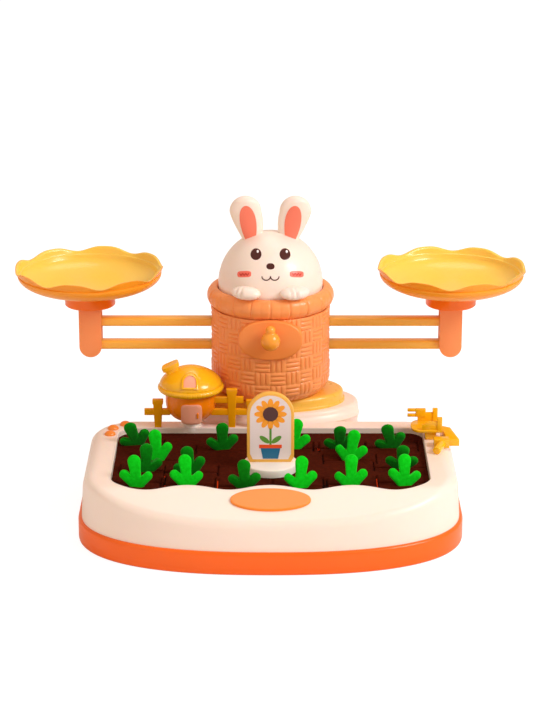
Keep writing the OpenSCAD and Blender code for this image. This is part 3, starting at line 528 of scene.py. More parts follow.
def shade(piece, angle):
    """Smooth shading, with edges sharper than an angle left sharp."""
    piece.data.shade_smooth()
    piece.data.set_sharp_from_angle(angle=math.radians(angle))
    return piece


def settle(piece, body, slot, *replaced):
    """Rides a finished piece on its body and hides the frame's parts that it replaces."""
    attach(piece, body)
    if replaced:
        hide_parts(*replaced)
    return piece


def make_piece(name, part, material, body, slot, *replaced, pick=None, smooth=50):
    """A finished piece from points and faces, on its body."""
    return settle(new_object(name, part, material, pick, smooth), body, slot, *replaced)


def bake(piece):
    """Turns a piece's modifiers into its plain mesh."""
    shaped = piece.evaluated_get(bpy.context.evaluated_depsgraph_get())
    mesh = bpy.data.meshes.new_from_object(shaped)
    piece.modifiers.clear()
    piece.data = mesh
    return piece


def run_modifier(piece, kind, **settings):
    modifier = piece.modifiers.new("shape", kind)
    for name, value in settings.items():
        setattr(modifier, name, value)
    return bake(piece)


def round_edges(piece, width, segments=3, angle=35):
    """Rounds a piece's sharp edges, width in millimetres."""
    run_modifier(piece, "BEVEL", width=width * MM, segments=segments, limit_method="ANGLE",
                 angle_limit=math.radians(angle), harden_normals=False)
    return shade(piece, angle)


def cut_with(piece, *cutters):
    """Takes closed cutters out of a closed piece."""
    for cutter in cutters:
        knife = new_object("knife", cutter, CREAM)
        run_modifier(piece, "BOOLEAN", operation="DIFFERENCE", solver="EXACT", object=knife)
        bpy.data.objects.remove(knife)
    return piece


def join_pieces(piece, extra):
    """Makes a second piece part of the first."""
    both = [piece, extra]
    with bpy.context.temp_override(active_object=piece, object=piece, selected_editable_objects=both):
        bpy.ops.object.join()
    return piece


def run_tree(piece, tree, values):
    """Runs a Geometry Nodes tree on a piece with its named inputs set, and keeps the plain mesh."""
    modifier = piece.modifiers.new("tree", "NODES")
    modifier.node_group = tree
    for item in tree.interface.items_tree:
        if item.item_type == "SOCKET" and item.in_out == "INPUT" and item.name in values:
            modifier[item.identifier] = values[item.name]
    return bake(piece)


def beads(name, points, size, material):
    """Beads of one size on points."""
    mesh = bpy.data.meshes.new(name)
    mesh.from_pydata([[c * MM for c in p] for p in points], [], [])
    values = {"Size": [c * MM for c in size], "Material": material}
    return run_tree(add_object(name, mesh), BEADS, values)


def paint(material, *names):
    """Gives CAD nodes their finish."""
    for name in names:
        slots = nodes[name].data.materials
        slots.clear()
        slots.append(material)


def box_mm(node):
    """Low and high corners of a node's box in millimetres, and its middle."""
    low, high = (np.array(corner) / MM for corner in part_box(node))
    return low, high, (low + high) / 2


# Base

def bow(x, half, front):
    """Reach of a bowed front at a place across."""
    inside = max(0.0, 1 - (abs(x) / half) ** BOW_POWER)
    return TURN_Y + (front - TURN_Y) * inside ** (1 / BOW_POWER)


def wall_ring(half, front, back, z):
    """A ring of the tray: bowed front, sides and rounded back corners, always of as many points."""
    points = []
    for i in range(121):
        turn = math.cos(math.pi + math.pi * i / 120)
        x = half * math.copysign(abs(turn) ** (2 / BOW_POWER), turn)
        points.append((x, -bow(x, half, front)))
    inner, start, end = half - TRAY_CORNER, points[-1][1], -back - TRAY_CORNER
    side = [start + (end - start) * i / 16 for i in range(1, 16)]
    points += [(half, y) for y in side]
    points += arc((inner, end), TRAY_CORNER, 0, 90, 12)
    points += [(inner * (1 - i / 20), -back) for i in range(1, 40)]
    points += arc((-inner, end), TRAY_CORNER, 90, 180, 12)
    points += [(-half, y) for y in side[::-1]]
    return level(points, z)


def top_height(y):
    """Height of the tray's top: flat border and flat front slope, with a soft crease between them."""
    down = (-y - SLOPE_TOP) / SLOPE_RUN / CREASE
    return TRAY_TOP - CREASE * math.log1p(math.exp(down))


def lip_mean(x, grow=0):
    """Reach of the front lip without its waves: straight, with rounded corners."""
    past = min(LIP_CORNER + grow, max(0.0, abs(x) - BED_HALF + LIP_CORNER))
    return LIP_FRONT - LIP_CORNER + math.sqrt((LIP_CORNER + grow) ** 2 - past ** 2)


def opening_line(grow):
    """Outline of the tray's opening with its wavy front lip, drawn outwards by a growth."""
    half, back = BED_HALF + grow, BED_BACK - grow
    front = []
    for i in range(161):
        x = half * math.sin(math.pi * (i / 160 - 0.5))
        wave = WAVE * math.cos(TAU * min(abs(x), BED_HALF) / WAVE_LENGTH)
        front.append((x, wave - lip_mean(x, grow)))
    corner_right = arc((half - BED_CORNER, -back - BED_CORNER), BED_CORNER, 0, 90, 12)
    corner_left = arc((BED_CORNER - half, -back - BED_CORNER), BED_CORNER, 90, 180, 12)
    return front + corner_right + corner_left


def tray_levels(inset):
    """Rings of the cream wall, its rounded shoulder and its top, drawn in by an inset."""
    def drawn_ring(drawn, drop):
        side = WALL_DRAFT + drawn + inset
        back = TRAY_BACK + WALL_DRAFT + BACK_EASE * drawn + inset
        ring = wall_ring(TRAY_HALF - side, TRAY_FRONT - side, back, -drop - inset)
        return [(x, y, z + top_height(y)) for x, y, z in ring]

    rings = [wall_ring(TRAY_HALF - inset, TRAY_FRONT - inset, TRAY_BACK + inset, TRAY_FOOT)]
    tight = FRONT_EDGE / TRAY_EDGE
    for r, up in arc((0, 0), TRAY_EDGE, 0, 90, 9):
        drawn, drop = TRAY_EDGE - r, TRAY_EDGE - up
        wide_ring, tight_ring = drawn_ring(drawn, drop), drawn_ring(drawn * tight, drop * tight)
        shares = [min(1.0, max(0.0, (-y - TURN_Y) / TURN_BLEND)) for x, y, z in tight_ring]
        rings.append([tuple(a + (b - a) * s for a, b in zip(wide, near))
                      for wide, near, s in zip(wide_ring, tight_ring, shares)])
    return rings + [drawn_ring(d, 0) for d in range(13, 47, 2)]


def lip_bead():
    """Rounded edge that runs all round the opening."""
    middle = opening_line(LIP_ROUND)
    section = oval(0, 0, LIP_ROUND, LIP_ROUND, 12)
    rings = []
    for i, (x, y) in enumerate(middle):
        ax, ay = middle[i - 1]
        bx, by = middle[(i + 1) % len(middle)]
        length = math.hypot(bx - ax, by - ay)
        out_x, out_y = (by - ay) / length, (ax - bx) / length
        z = top_height(y) - LIP_ROUND + 0.12
        rings.append([(x + out_x * out, y + out_y * out, z + up) for out, up in section])
    return loft(rings, loop=True)


def lip_skirt():
    """Wall inside the opening, from under the lip down to the felt."""
    inner, outer = opening_line(0.05), opening_line(1.9)
    top = [top_height(y) - 0.7 for x, y in inner]
    low = FELT_TOP - 0.6
    return loft([level(inner, low), [(x, y, z) for (x, y), z in zip(inner, top)],
                 [(x, y, z) for (x, y), z in zip(outer, top)], level(outer, low)], loop=True)


def pedestal_part():
    """Oval stand for the basket, whose front half runs out onto the border."""
    def flare(z, grow, rise):
        ring = []
        for x, y in oval(0, 0, *PEDESTAL, 160):
            share = min(1.0, max(0.0, (2 - y) / 26))
            scale = 1 + grow * share / math.hypot(x, y)
            ring.append((x * scale, y * scale, z + rise * share))
        return ring

    rings = oval_stack(*PEDESTAL, [(0, TRAY_FOOT), (0, 40)])
    rings += [flare(46.5, 6, 2.2), flare(48.4, 3.6, 0.9), flare(50.2, 1.6, 0.4), flare(52.4, 0.3, 0)]
    edge = [(3 - r, z) for r, z in arc((0, 53), 3, 15, 90, 5)]
    rings += oval_stack(*PEDESTAL, [(0, 53)] + edge)
    return loft(rings, "cap", (0, 0, 56))


def make_tray():
    body = new_object("tray_shell", loft(tray_levels(0), "cap", "cap"), CREAM, smooth=60)
    inside = tray_levels(TRAY_WALL)
    hollow = loft([[(x, y, z - 0.3) for x, y, z in inside[0]]] + inside, "cap", "cap")
    cut_with(body, hollow, prism_part(opening_line(LIP_ROUND), 30, 60, level))
    boss = lathe([(8.6, 46), (8.6, 49), (7.8, 49.6), (7.4, 50.6), (7.4, 53.8)], HOUSE_X, HOUSE_Y, 48)
    extras = merge_parts(lip_bead(), lip_skirt(), pedestal_part(), boss)
    join_pieces(body, new_object("tray_extras", extras, CREAM, smooth=60))
    settle(shade(body, 50), "base", "cream_plastic", "upper_shell")


def make_foot_shell():
    profile = [(2, 0), (1, 0.3), (0.3, 1), (0, 2.2), (0, 14.6), (0.3, 15.5), (0.9, 16.2), (1.9, 16.6)]
    half, front, back = TRAY_HALF + FOOT_PROUD, TRAY_FRONT + FOOT_PROUD, TRAY_BACK - FOOT_PROUD
    main = loft([wall_ring(half - d, front - d, back + d, z) for d, z in profile], "cap", "cap")
    drum = loft(oval_stack(*(axis + FOOT_PROUD for axis in PEDESTAL), profile), "cap", "cap")
    make_piece("foot_shell", merge_parts(main, drum), ORANGE, "base", "orange_plastic", "lower_shell")


def make_badge():
    """Blank oval on the front slope, with a soft edge."""
    tilt = math.atan(1 / SLOPE_RUN)
    down, under, top = 14.7, -0.9, 1.72
    profile = [(0, under), (0, 1.1), (0.15, 1.45), (0.5, 1.65), (1.1, 1.7), (4, top)]
    verts, faces = loft(oval_stack(27.7, 11.8, profile), (0, 0, under), (0, 0, top))
    laid = []
    for x, u, w in verts:
        y, z = turned(u, w, tilt)
        laid.append((x, y - SLOPE_TOP - down, z + TRAY_TOP - down / SLOPE_RUN))
    make_piece("badge", (laid, faces), BADGE, "base", "orange_plastic", "front_badge")


def make_studs():
    points = level([(-107.5, -39), (-116, -47.5), (-117.5, -60)], TRAY_TOP)
    settle(beads("studs", points, (4.2, 4.2, 2.9), STUD), "base", "orange_plastic", "corner_studs")


# Felt bed

def bed_place(carrot):
    """Place of a carrot on the bed."""
    return carrot.across * BED_HALF, -BED_BACK - carrot.along * BED_DEPTH


def felt_height(y):
    """Height of the felt, which bulges a little towards the back of the bed."""
    along = np.clip((-y - BED_BACK) / BED_DEPTH, 0, 1)
    return FELT_TOP - 0.9 + FELT_RISE * (1 - along ** 2)


def slit_marks():
    """Cut lines of the felt: from, to, half width, and whether the root's orange shows in the cut."""
    marks = []
    for number, carrot in enumerate(CARROTS):
        x, y = bed_place(carrot)
        x += carrot.aside
        marks.append(((x - SLIT_HALF, y), (x + SLIT_HALF, y), 0.75, False))
        for side in (-1, 1):
            end = x + side * SLIT_HALF
            marks.append(((end, y - 6), (end, y + 13), 0.6, (number * 5 + side) % 3 > 0))
            if (number + side) % 4 == 0:
                marks.append(((x + side * 9, y - 0.6), (end - side * 2, y + 0.4), 0.5, True))
    return marks


def felt_relief(x, y):
    """Height of the felt at many places, which of them are cut and take painted shade,
    and which show a root's orange.
    """
    depth = np.zeros(len(x))
    orange = np.zeros(len(x), bool)
    swell = np.zeros(len(x))
    for start, end, width, shows_root in slit_marks():
        gap, _ = segment_gap(x, y, start, end)
        depth = np.maximum(depth, np.exp(-(gap / width) ** 2))
        if shows_root:
            orange |= gap < 0.7 * width
    for carrot in CARROTS:
        cx, cy = bed_place(carrot)
        swell += np.exp(-(((x - cx) / 11) ** 2 + ((y - cy) / 7) ** 2))
    return felt_height(y) + FELT_SWELL * swell - SLIT_DEPTH * depth, depth > 0.5, orange


def make_soil():
    """Felt sheet with H-shaped cuts whose flaps stand a little proud; painted shade darkens the cuts."""
    step, rows = 0.8, 158
    half, back = BED_HALF + FELT_SIDE, BED_BACK - FELT_SIDE
    xs = np.linspace(-half, half, int(2 * half / step))
    columns = len(xs)
    fronts = [lip_mean(x, FELT_FRONT) for x in xs]
    points = [(x, -front + (front - back) * k / (rows - 1))
              for x, front in zip(xs, fronts) for k in range(rows)]
    heights, cut, orange = felt_relief(*np.array(points).T)
    count = len(points)
    verts = [(x, y, z) for (x, y), z in zip(points, heights)] + level(points, FELT_TOP - FELT_THICK)
    faces = []
    for i in range(columns - 1):
        for k in range(rows - 1):
            a, b = i * rows + k, (i + 1) * rows + k
            faces.append((a, b, b + 1, a + 1))
            faces.append((count + a, count + a + 1, count + b + 1, count + b))
    rim = [i * rows for i in range(columns)] + [(columns - 1) * rows + k for k in range(1, rows)]
    rim += [i * rows + rows - 1 for i in range(columns - 2, -1, -1)] + list(range(rows - 2, 0, -1))
    faces += [(a, b, count + b, count + a) for a, b in zip(rim, rim[1:] + rim[:1])]

    # Cut faces take near-black felt as painted shade; where a root shows through, they take its orange
    def pick(polygon):
        corners = [v for v in polygon.vertices if v < count]
        if len(corners) < 4:
            return 0
        return 2 if sum(orange[v] for v in corners) > 2 else 1 if sum(cut[v] for v in corners) > 2 else 0

    felts = [SOIL, SLIT_SHADE, SLIT_ROOT]
    piece = make_piece("soil_sheet", (verts, faces), felts, "base", "brown_felt", "soil_felt", pick=pick)


# Carrots

def leaf_outline(centre):
    """Outline of three lobes that run into each other, the middle one club-shaped, round a centre."""
    lobes = [((0, -4.5), (0, 17.0), 2.7, 4.6), ((-1.8, -0.5), (-8.4, 5.8), 2.9, 3.2),
             ((1.8, -0.5), (8.2, 8.2), 2.9, 3.4)]
    blend, stride = 0.6, 0.1

    def inside(x, y):
        total = 0
        for start, end, low_r, high_r in lobes:
            gap, along = segment_gap(x, y, start, end)
            total += math.exp((low_r + (high_r - low_r) * along ** 1.5 - gap) / blend)
        return total > 1

    outline = []
    for c, s in oval(0, 0, 1, 1, 160):
        reach = 0
        while inside(centre[0] + (reach + stride) * c, centre[1] + (reach + stride) * s):
            reach += stride
        outline.append((centre[0] + reach * c, centre[1] + reach * s))
    return outline


LEAF_CENTRE = (0, 3)
LEAF_OUTLINE = leaf_outline(LEAF_CENTRE)


def leaf_cut():
    """Flat width, height and area of a leaf, in metres."""
    xs, zs = zip(*LEAF_OUTLINE)
    closed = zip(LEAF_OUTLINE, LEAF_OUTLINE[1:] + LEAF_OUTLINE[:1])
    area = abs(sum(a[0] * b[1] - b[0] * a[1] for a, b in closed)) / 2 * MM * MM
    return (max(xs) - min(xs)) * MM, (max(zs) - min(zs)) * MM, area


def leaf_part():
    """A thick felt leaf with soft edges, standing in the XZ plane."""
    profile = [(1.0, 0.28), (0.965, 0.62), (0.9, 0.86), (0.78, 0.97), (0.5, 1), (0.2, 1)]
    half = LEAF_THICK / 2
    steps = [(share, -half * t) for share, t in profile[::-1]] + [(share, half * t) for share, t in profile]
    return patch_part(lambda x, z, y: (x, y, z), LEAF_OUTLINE, LEAF_CENTRE, steps)


def root_profile():
    """Radius and height of a stuffed root, drawn in at three stitched waists."""
    widest = 0.88
    points = []
    for i in range(1, 41):
        t = i / 40
        tip = math.sqrt(1 - abs(2 * min(t, 0.5) - 1) ** 6)
        past = max(0.0, (t - widest) / (1 - widest))
        taper = 0.42 + 0.58 * (t / widest) ** 0.7 if t < widest else math.sqrt(1 - 0.8 * past ** 2)
        waist = 1 - 0.05 * sum(math.exp(-((t - w) / 0.025) ** 2) for w in (0.3, 0.52, 0.73))
        points.append((ROOT_RADIUS * tip * taper * waist, ROOT_LENGTH * t))
    return points


def make_carrot(index, carrot):
    x, y = bed_place(carrot)
    name, leaf_name, root_name = (f"{word}_{index:02d}" for word in ("carrot", "leaf", "root"))
    stand_on = float(felt_height(y)) + 0.9

    def stand(p):
        px, pz = turned(p[0] * carrot.facing, p[2], math.radians(carrot.roll))
        py, pz = turned(p[1], pz, math.radians(-carrot.lean))
        px, py = turned(px, py, math.radians(carrot.turn))
        return (x + carrot.aside + px, y - carrot.forward + py, stand_on + pz)

    verts, faces = leaf_part()
    # The leaf takes the lit green felt or its darker copy, which is painted shade
    green = LEAF_BRIGHT if carrot.bright else LEAF_SHADED
    leaf = make_piece(leaf_name, ([stand(v) for v in verts], faces), green, name, "green_felt", name)
    width, height, area = leaf_cut()
    base = FELT_TOP - ROOT_DROP - ROOT_LENGTH
    profile = [(r, base + z) for r, z in root_profile()]
    root = make_piece(root_name, lathe(profile, x, y, 40), ROOT_FELT, name, "green_felt", name)


# Basket

def weave_height(u, v):
    """Height of the woven relief: u counts blocks round the basket, v counts rows up it."""
    across, up = u % 1, v % 1
    flat = (int(math.floor(u)) + int(math.floor(v))) % 2 == 0
    along, cross = (across, up) if flat else (up, across)
    strap = (cross * WEAVE_STRAPS) % 1
    strap_round = (1 - abs(2 * strap - 1) ** 4) ** 0.8
    arch = (1 - abs(2 * along - 1) ** 4) ** 0.8
    return strap_round * (0.35 + 0.65 * arch)


def make_basket():
    """Woven wall with a rounded foot and a slot on each side for the beams."""
    low, high, _ = box_mm("basket")
    base, top = low[2], high[2]
    rounding, wall, bend = 11.8, 1.6, math.radians(78)
    slot_half, slot_low, slot_high = 6.5, 87.6, 128.8
    steps, levels = WEAVE_BLOCKS * 18, WEAVE_ROWS * 15
    turns = [i * TAU / steps for i in range(steps)]
    slot_turn = math.asin(slot_half / BASKET_R)
    for edge in (slot_turn, -slot_turn, math.pi - slot_turn, math.pi + slot_turn):
        nearest = min(range(steps), key=lambda i: abs((turns[i] - edge + math.pi) % TAU - math.pi))
        turns[nearest] = edge % TAU
    length = bend * rounding + top - base - rounding
    runs = [length * k / levels for k in range(levels + 1)]
    for edge in (slot_low, slot_high):
        wanted = bend * rounding + edge - base - rounding
        runs[min(range(len(runs)), key=lambda i: abs(runs[i] - wanted))] = wanted
    profile = []
    verts = []
    for run in runs:
        turn_up = min(0.0, run / rounding - bend)
        r = BASKET_R - rounding * (1 - math.cos(turn_up))
        z = base + rounding * (1 + math.sin(turn_up)) + max(0.0, run - bend * rounding)
        profile.append(z)
        slope = max(0.0, min(1.0, (z - base) / rounding))
        for turn in turns:
            weave = weave_height(turn / TAU * WEAVE_BLOCKS, run / length * WEAVE_ROWS)
            out = (weave - 0.4) * WEAVE_DEPTH * min(1, run / 4)
            reach = r + out * (0.4 + 0.6 * slope)
            verts.append((reach * math.cos(turn), reach * math.sin(turn), z - out * (1 - slope) * 0.6))
    faces = []
    for k in range(levels):
        z = (profile[k] + profile[k + 1]) / 2
        for i in range(steps):
            j = (i + 1) % steps
            turn = turns[i] + ((turns[j] - turns[i]) % TAU) / 2
            if abs(math.sin(turn)) * BASKET_R >= slot_half or not slot_low < z < slot_high:
                a, b = k * steps, (k + 1) * steps
                faces.append((a + i, a + j, b + j, b + i))
    verts.append((0, 0, base))
    faces += [((i + 1) % steps, i, len(verts) - 1) for i in range(steps)]
    piece = new_object("woven_basket", (verts, faces), PEACH, smooth=70)
    run_modifier(piece, "SOLIDIFY", thickness=wall * MM, offset=-1)
    settle(piece, "base", "peach_plastic", "basket")


def make_rim():
    """Rolled rim with a groove between its pads."""
    _, high, _ = box_mm("basket_rim")
    base, top, out = high[2] - 15.5, high[2] - 0.8, high[0]
    half, inner, core = (top - base) / 2, 39.2, 40.8
    profile = [(36, base + 3), (36, base + 1), (39.5, base - 1.8), (41.8, base - 1.8)]
    for angle in range(-60, 91, 6):
        turn = math.radians(angle)
        profile.append((core + (out - core) * math.cos(turn), base + half * (1 + math.sin(turn))))
    profile += [(inner + 0.5, top - 0.5), (inner, top - 1.6), (inner, base + 3)]
    nears = [abs((i / 20 + 0.5) % 1 - 0.5) for i in range(RIM_GROOVES * 20)]
    grooves = [0.75 * math.exp(-(near / 0.045) ** 2) + 0.35 * (2 * near) ** 4 for near in nears]
    rings = []
    for r, z in profile:
        outside = r > core and z > base
        reaches = [r - groove if outside else r for groove in grooves]
        rings.append(polar_ring(reaches, z, start=TAU / 4))
    make_piece("rolled_rim", loft(rings, loop=True), PEACH, "base", "peach_plastic", "basket_rim", smooth=60)


def make_foot_disc():
    step, edge, top = 1.2, 3, 62
    profile = [(0, 56), (0, 57.7), (0.4, 58.2), (1.0, 58.4), (step, 58.8), (step, top)]
    profile += [(step + edge - r, z) for r, z in arc((0, top), edge, 10, 90, 6)]
    part = loft(oval_stack(56, 33.5, profile), "cap", (0, 0, top + edge))
    make_piece("foot_disc", part, FOOT, "base", "yellow_plastic", "basket_foot", smooth=45)


# Rabbit

def head_frame():
    """Radius, middle height and lowest height of the head."""
    low, high, _ = box_mm("head")
    radius = (high[0] - low[0]) / 2
    return radius, high[2] - radius, low[2]


HEAD_R, HEAD_Z, HEAD_LOW = head_frame()


def make_head():
    start = math.degrees(math.asin((HEAD_LOW - HEAD_Z) / HEAD_R))
    profile = [(HEAD_R * 0.6, HEAD_LOW)] + arc((0, HEAD_Z), HEAD_R, start, 89, 60)
    make_piece("rabbit_head", lathe(profile, steps=128), CREAM, "base", "cream_plastic", "head")


def on_head(x, z, lift):
    radius = HEAD_R + lift
    return (x, -math.sqrt(max(1.0, radius ** 2 - x ** 2 - (z - HEAD_Z) ** 2)), z)


def on_face(x, line, lift):
    """Place on the head that looks level, from the front and above, with a height of its middle line."""
    middle = on_head(0, line, lift)[1]
    z = line
    for _ in range(8):
        z = line - (on_head(x, z, lift)[1] - middle) * LOOK_DOWN
    return on_head(x, z, lift)


def face_patch(cx, cz, a, b, power=2.0, lift=0.12):
    """A printed oval that follows the head, closed underneath."""
    steps = [(share, lift) for share in (0.2, 0.4, 0.6, 0.8, 0.95)] + [(1, lift * 0.5), (1, -0.4)]
    return patch_part(on_face, oval(cx, cz, a, b, power=power), (cx, cz), steps)


def face_stroke(points, width, lift=0.15):
    """A drawn line on the head: a flat ribbon with its edges sunk."""
    left, right = [], []
    for i, (x, z) in enumerate(points):
        ax, az = points[max(0, i - 1)]
        bx, bz = points[min(len(points) - 1, i + 1)]
        length = math.hypot(bx - ax, bz - az)
        nx, nz = -(bz - az) / length * width / 2, (bx - ax) / length * width / 2
        left.append((x + nx, z + nz))
        right.append((x - nx, z - nz))
    outline = left + right[::-1]
    total = len(outline)
    verts = [on_face(x, z, height) for height in (lift, -0.3) for x, z in outline]
    faces = [(i, total + i, total + (i + 1) % total, (i + 1) % total) for i in range(total)]
    for i in range(len(points) - 1):
        j = total - 1 - i
        faces.append((i, i + 1, j - 1, j))
        faces.append((total + i, total + j, total + j - 1, total + i + 1))
    return verts, faces


def make_face():
    """Printed face: eyes with highlights, nose, mouth and cheeks with a small zigzag."""
    eye_x, eye_z, cheek_x, cheek_z = 10.6, 176.35, 19.2, 164.0
    mouth_r, mouth_z, mouth_deep = 3.1, 162.2, 2.5
    brown = [face_patch(0, 168.9, 3.0, 2.0, 2.3)]
    shines, cheeks, zigzags = [], [], []
    for s in (-1, 1):
        brown.append(face_patch(s * eye_x, eye_z, 4.0, 3.4))
        turns = [math.radians(a) for a in range(172, 369, 8)]
        smile = [(s * mouth_r * (1 + math.cos(a)), mouth_z + mouth_deep * math.sin(a)) for a in turns]
        brown.append(face_stroke(smile, 0.75))
        shines.append(face_patch(s * eye_x + 1.3, eye_z + 1.7, 0.8, 0.8, lift=0.25))
        cheeks.append(face_patch(s * cheek_x, cheek_z, 5.1, 2.1, 3.6))
        zigzag = [(s * cheek_x + 6.8 * (i / 24 - 0.5), cheek_z - 0.1 + 0.7 * math.cos(i * TAU / 8))
                  for i in range(25)]
        zigzags.append(face_stroke(zigzag, 0.7, 0.24))
    prints = [("face_print", brown, PRINT_BROWN), ("eye_shine", shines, PRINT_WHITE),
              ("cheek_print", cheeks, PRINT_CHEEK), ("cheek_lines", zigzags, PRINT_CHEEK_LINE)]
    for name, parts, ink in prints:
        make_piece(name, merge_parts(*parts), ink, "base", "cream_plastic")


def ear_span(z):
    """Middle and half width of an ear at a height."""
    (x1, z1, r1), (x0, z0, r0) = EAR_HIGH, EAR_LOW
    if z > z1:
        return x1, math.sqrt(max(0.0, r1 ** 2 - (z - z1) ** 2))
    t = (z - z0) / (z1 - z0)
    ease = math.sin(max(0.0, min(1.0, t)) * math.pi / 2) if t > 0 else t
    return x0 + (x1 - x0) * t, r0 + (r1 - r0) * ease


def make_ear(side, name):
    foot, top = 176, EAR_HIGH[1] + EAR_HIGH[2]
    rings = []
    for k in range(40):
        z = foot + (top - foot) * math.sin(k / 40 * math.pi / 2)
        middle, half = ear_span(z)
        thick = EAR_HALF * min(1.0, (half / 8.5) ** 0.8) if half > 0 else 0
        rings.append(level(oval(side * middle, 0, half, thick, 64), z))
    ear = loft(rings, "cap", (side * EAR_HIGH[0], 0, top))
    make_piece(name, ear, CREAM, "base", "cream_plastic", name)

    def front(x, z, lift):
        middle, half = ear_span(z)
        across = min(0.98, abs(x - side * middle) / half)
        return (x, -EAR_HALF * math.sqrt(1 - across ** 2) - lift, z)

    middle_z, tall, wide, narrow = 191.55, 15.55, 7.2, 4.1
    outline = []
    for across, up in oval(0, 0, 1, 1, 64):
        t = (up + 1) / 2
        middle_x = side * (EAR_LOW[0] + 0.2 + (EAR_HIGH[0] - EAR_LOW[0] - 0.6) * t)
        outline.append((middle_x + (narrow + (wide - narrow) * t ** 0.8) * across, middle_z + up * tall))
    steps = [(share, 0.25) for share in (0.15, 0.3, 0.45, 0.6, 0.75, 0.88, 0.96, 1)] + [(1, -0.6)]
    lining = patch_part(front, outline, (side * 16, 192.5), steps)
    make_piece(f"lining_{name}", lining, CORAL, "base", "coral_plastic", name.replace("ear", "ear_lining"))


def make_paw(side, name):
    """Rounded paw on the rim, with toe grooves."""
    reach, across, rest_z = HEAD_R + 4.2, 17.8, 150.5
    wide, deep, tall, sole = 11.4, 7.2, 4.9, -4.2
    rings = []
    for k in range(1, 24):
        lat = math.pi * k / 24 - math.pi / 2
        ring = []
        for x, y in oval(0, 0, wide * math.cos(lat), deep * math.cos(lat), 48):
            z = tall * math.sin(lat)
            front = max(0.0, -y / deep) * max(0.0, min(1.0, (z + 4) / 3))
            toes = sum(math.exp(-((x - t) / 0.6) ** 2) for t in (-5.2, -1.6)) * front
            ring.append((x, y + 1.6 * toes, max(z - 1.1 * toes, sole)))
        rings.append(ring)
    points, faces = loft(rings, (0, 0, sole), (0, 0, tall))
    spin = side * math.asin(across / reach)
    verts = [(*turned(x, y - reach, spin), z + rest_z) for x, y, z in points]
    make_piece(name, (verts, faces), CREAM, "base", "cream_plastic", name, smooth=70)


# Balance

def make_pan(side, name, turn):
    """Dish with a collar underneath, a crease line and a petal edge."""
    low, _, middle = box_mm(name)
    x, y, base = side * ARM_X, middle[1], low[2]
    bore, collar, crease, rim, wall = 6.05, 18.7, 52.3, 55, 2.2
    floor, crease_z, top = base + 11.5, base + 24.1, base + 30.2
    steps = 192

    def bowl(t, r0, r1, z0, z1):
        angle = t * math.pi / 2
        return (r0 + (r1 - r0) * math.sin(angle), z0 + (z1 - z0) * (1 - math.cos(angle)))

    foot = [(bore, base), (collar - 0.6, base), (collar, base + 0.6),
            (collar, floor - 0.8), (collar + 0.6, floor)]
    outer = foot + [bowl(i / 24, collar + 1, crease + 1.1, floor, crease_z) for i in range(1, 25)]
    outer.append((crease + 0.4, crease_z + 0.4))
    outer += [(crease + 0.5 + (rim - crease - 0.7) * t ** 0.7, crease_z + 1 + (top - crease_z - 1.4) * t)
              for t in (0.05, 0.3, 0.55, 0.8, 0.95)]
    lip = [(rim - 0.15, top - 0.15), (rim - 0.7, top), (rim - 1.5, top - 0.2), (rim - wall, top - 0.9)]
    inner = [(crease - 0.7 + (rim - wall - crease + 0.7) * t, crease_z + 0.9 + (top - crease_z - 2.2) * t)
             for t in (0.8, 0.5, 0.2, 0.0)]
    bead = ((1.0, 0.6), (1.6, 0.35), (1.8, -0.3))
    inner += [(crease - drawn, crease_z + up) for drawn, up in bead]
    inner += [bowl(1 - i / 24, collar, crease - wall, floor + wall, crease_z - 0.6) for i in range(1, 24)]
    rings = [level(oval(x, y, r, r, steps), z) for r, z in outer + lip + inner]
    collar_faces, outer_faces = (len(foot) - 1) * steps, (len(outer) + 1) * steps

    # Collar faces and outside faces take the deeper copies of the yellow that paint shade; the inside stays
    # plain yellow
    def pick(polygon):
        return 2 if polygon.index < collar_faces else 1 if polygon.index < outer_faces else 0

    part = loft(rings, (x, y, base + 0.4), (x, y, floor + wall))
    piece = new_object(name + "_dish", part, [PAN_INSIDE, PAN_OUTSIDE_SHADE, COLLAR_SHADE], pick, smooth=40)
    heights = np.array([v.co.z for v in piece.data.vertices]) / MM
    share = np.clip((heights - crease_z - 0.6) / (top - crease_z - 0.6), 0, 1)
    attribute = piece.data.attributes.new("edge", "FLOAT", "POINT")
    attribute.data.foreach_set("value", share.astype(np.float32))
    run_tree(piece, PETALS, {"Petals": 8.0, "Dip": 3.8 * MM, "Turn": math.radians(turn), "Centre X": x * MM})
    settle(piece, name, "yellow_plastic", name)


def make_post(side, name):
    """Upright with a half-round foot, open towards the middle for the beam ends."""
    x, half, deep, inside, slot = side * ARM_X, 8.3, 8.0, 5.6, 5
    low, top, sill, lintel = LOWER_Z, 130.4, 5.2, 4.6
    outline = arc((x, low), half, 180, 360, 24) + [(x + half, top), (x - half, top)]
    piece = new_object(name + "_moulding", prism_part(outline, -deep, deep), POST_PEACH)
    start = -math.degrees(math.asin(sill / inside))
    pocket = [(-half - 1, low - sill)] + arc((0, low), inside, start, 0, 12)
    pocket += [(inside, top - lintel), (-half - 1, top - lintel)]
    cut_with(piece, prism_part([(x + side * px, pz) for px, pz in pocket], -slot, slot))
    round_edges(piece, 0.9)
    spigot = lathe([(6, top - 0.5), (6, top + 5.2), (5.8, top + 6), (5.2, top + 6.6)], x, 0, 48)
    join_pieces(piece, new_object("spigot", spigot, POST_PEACH))
    settle(piece, name, "peach_plastic", name)


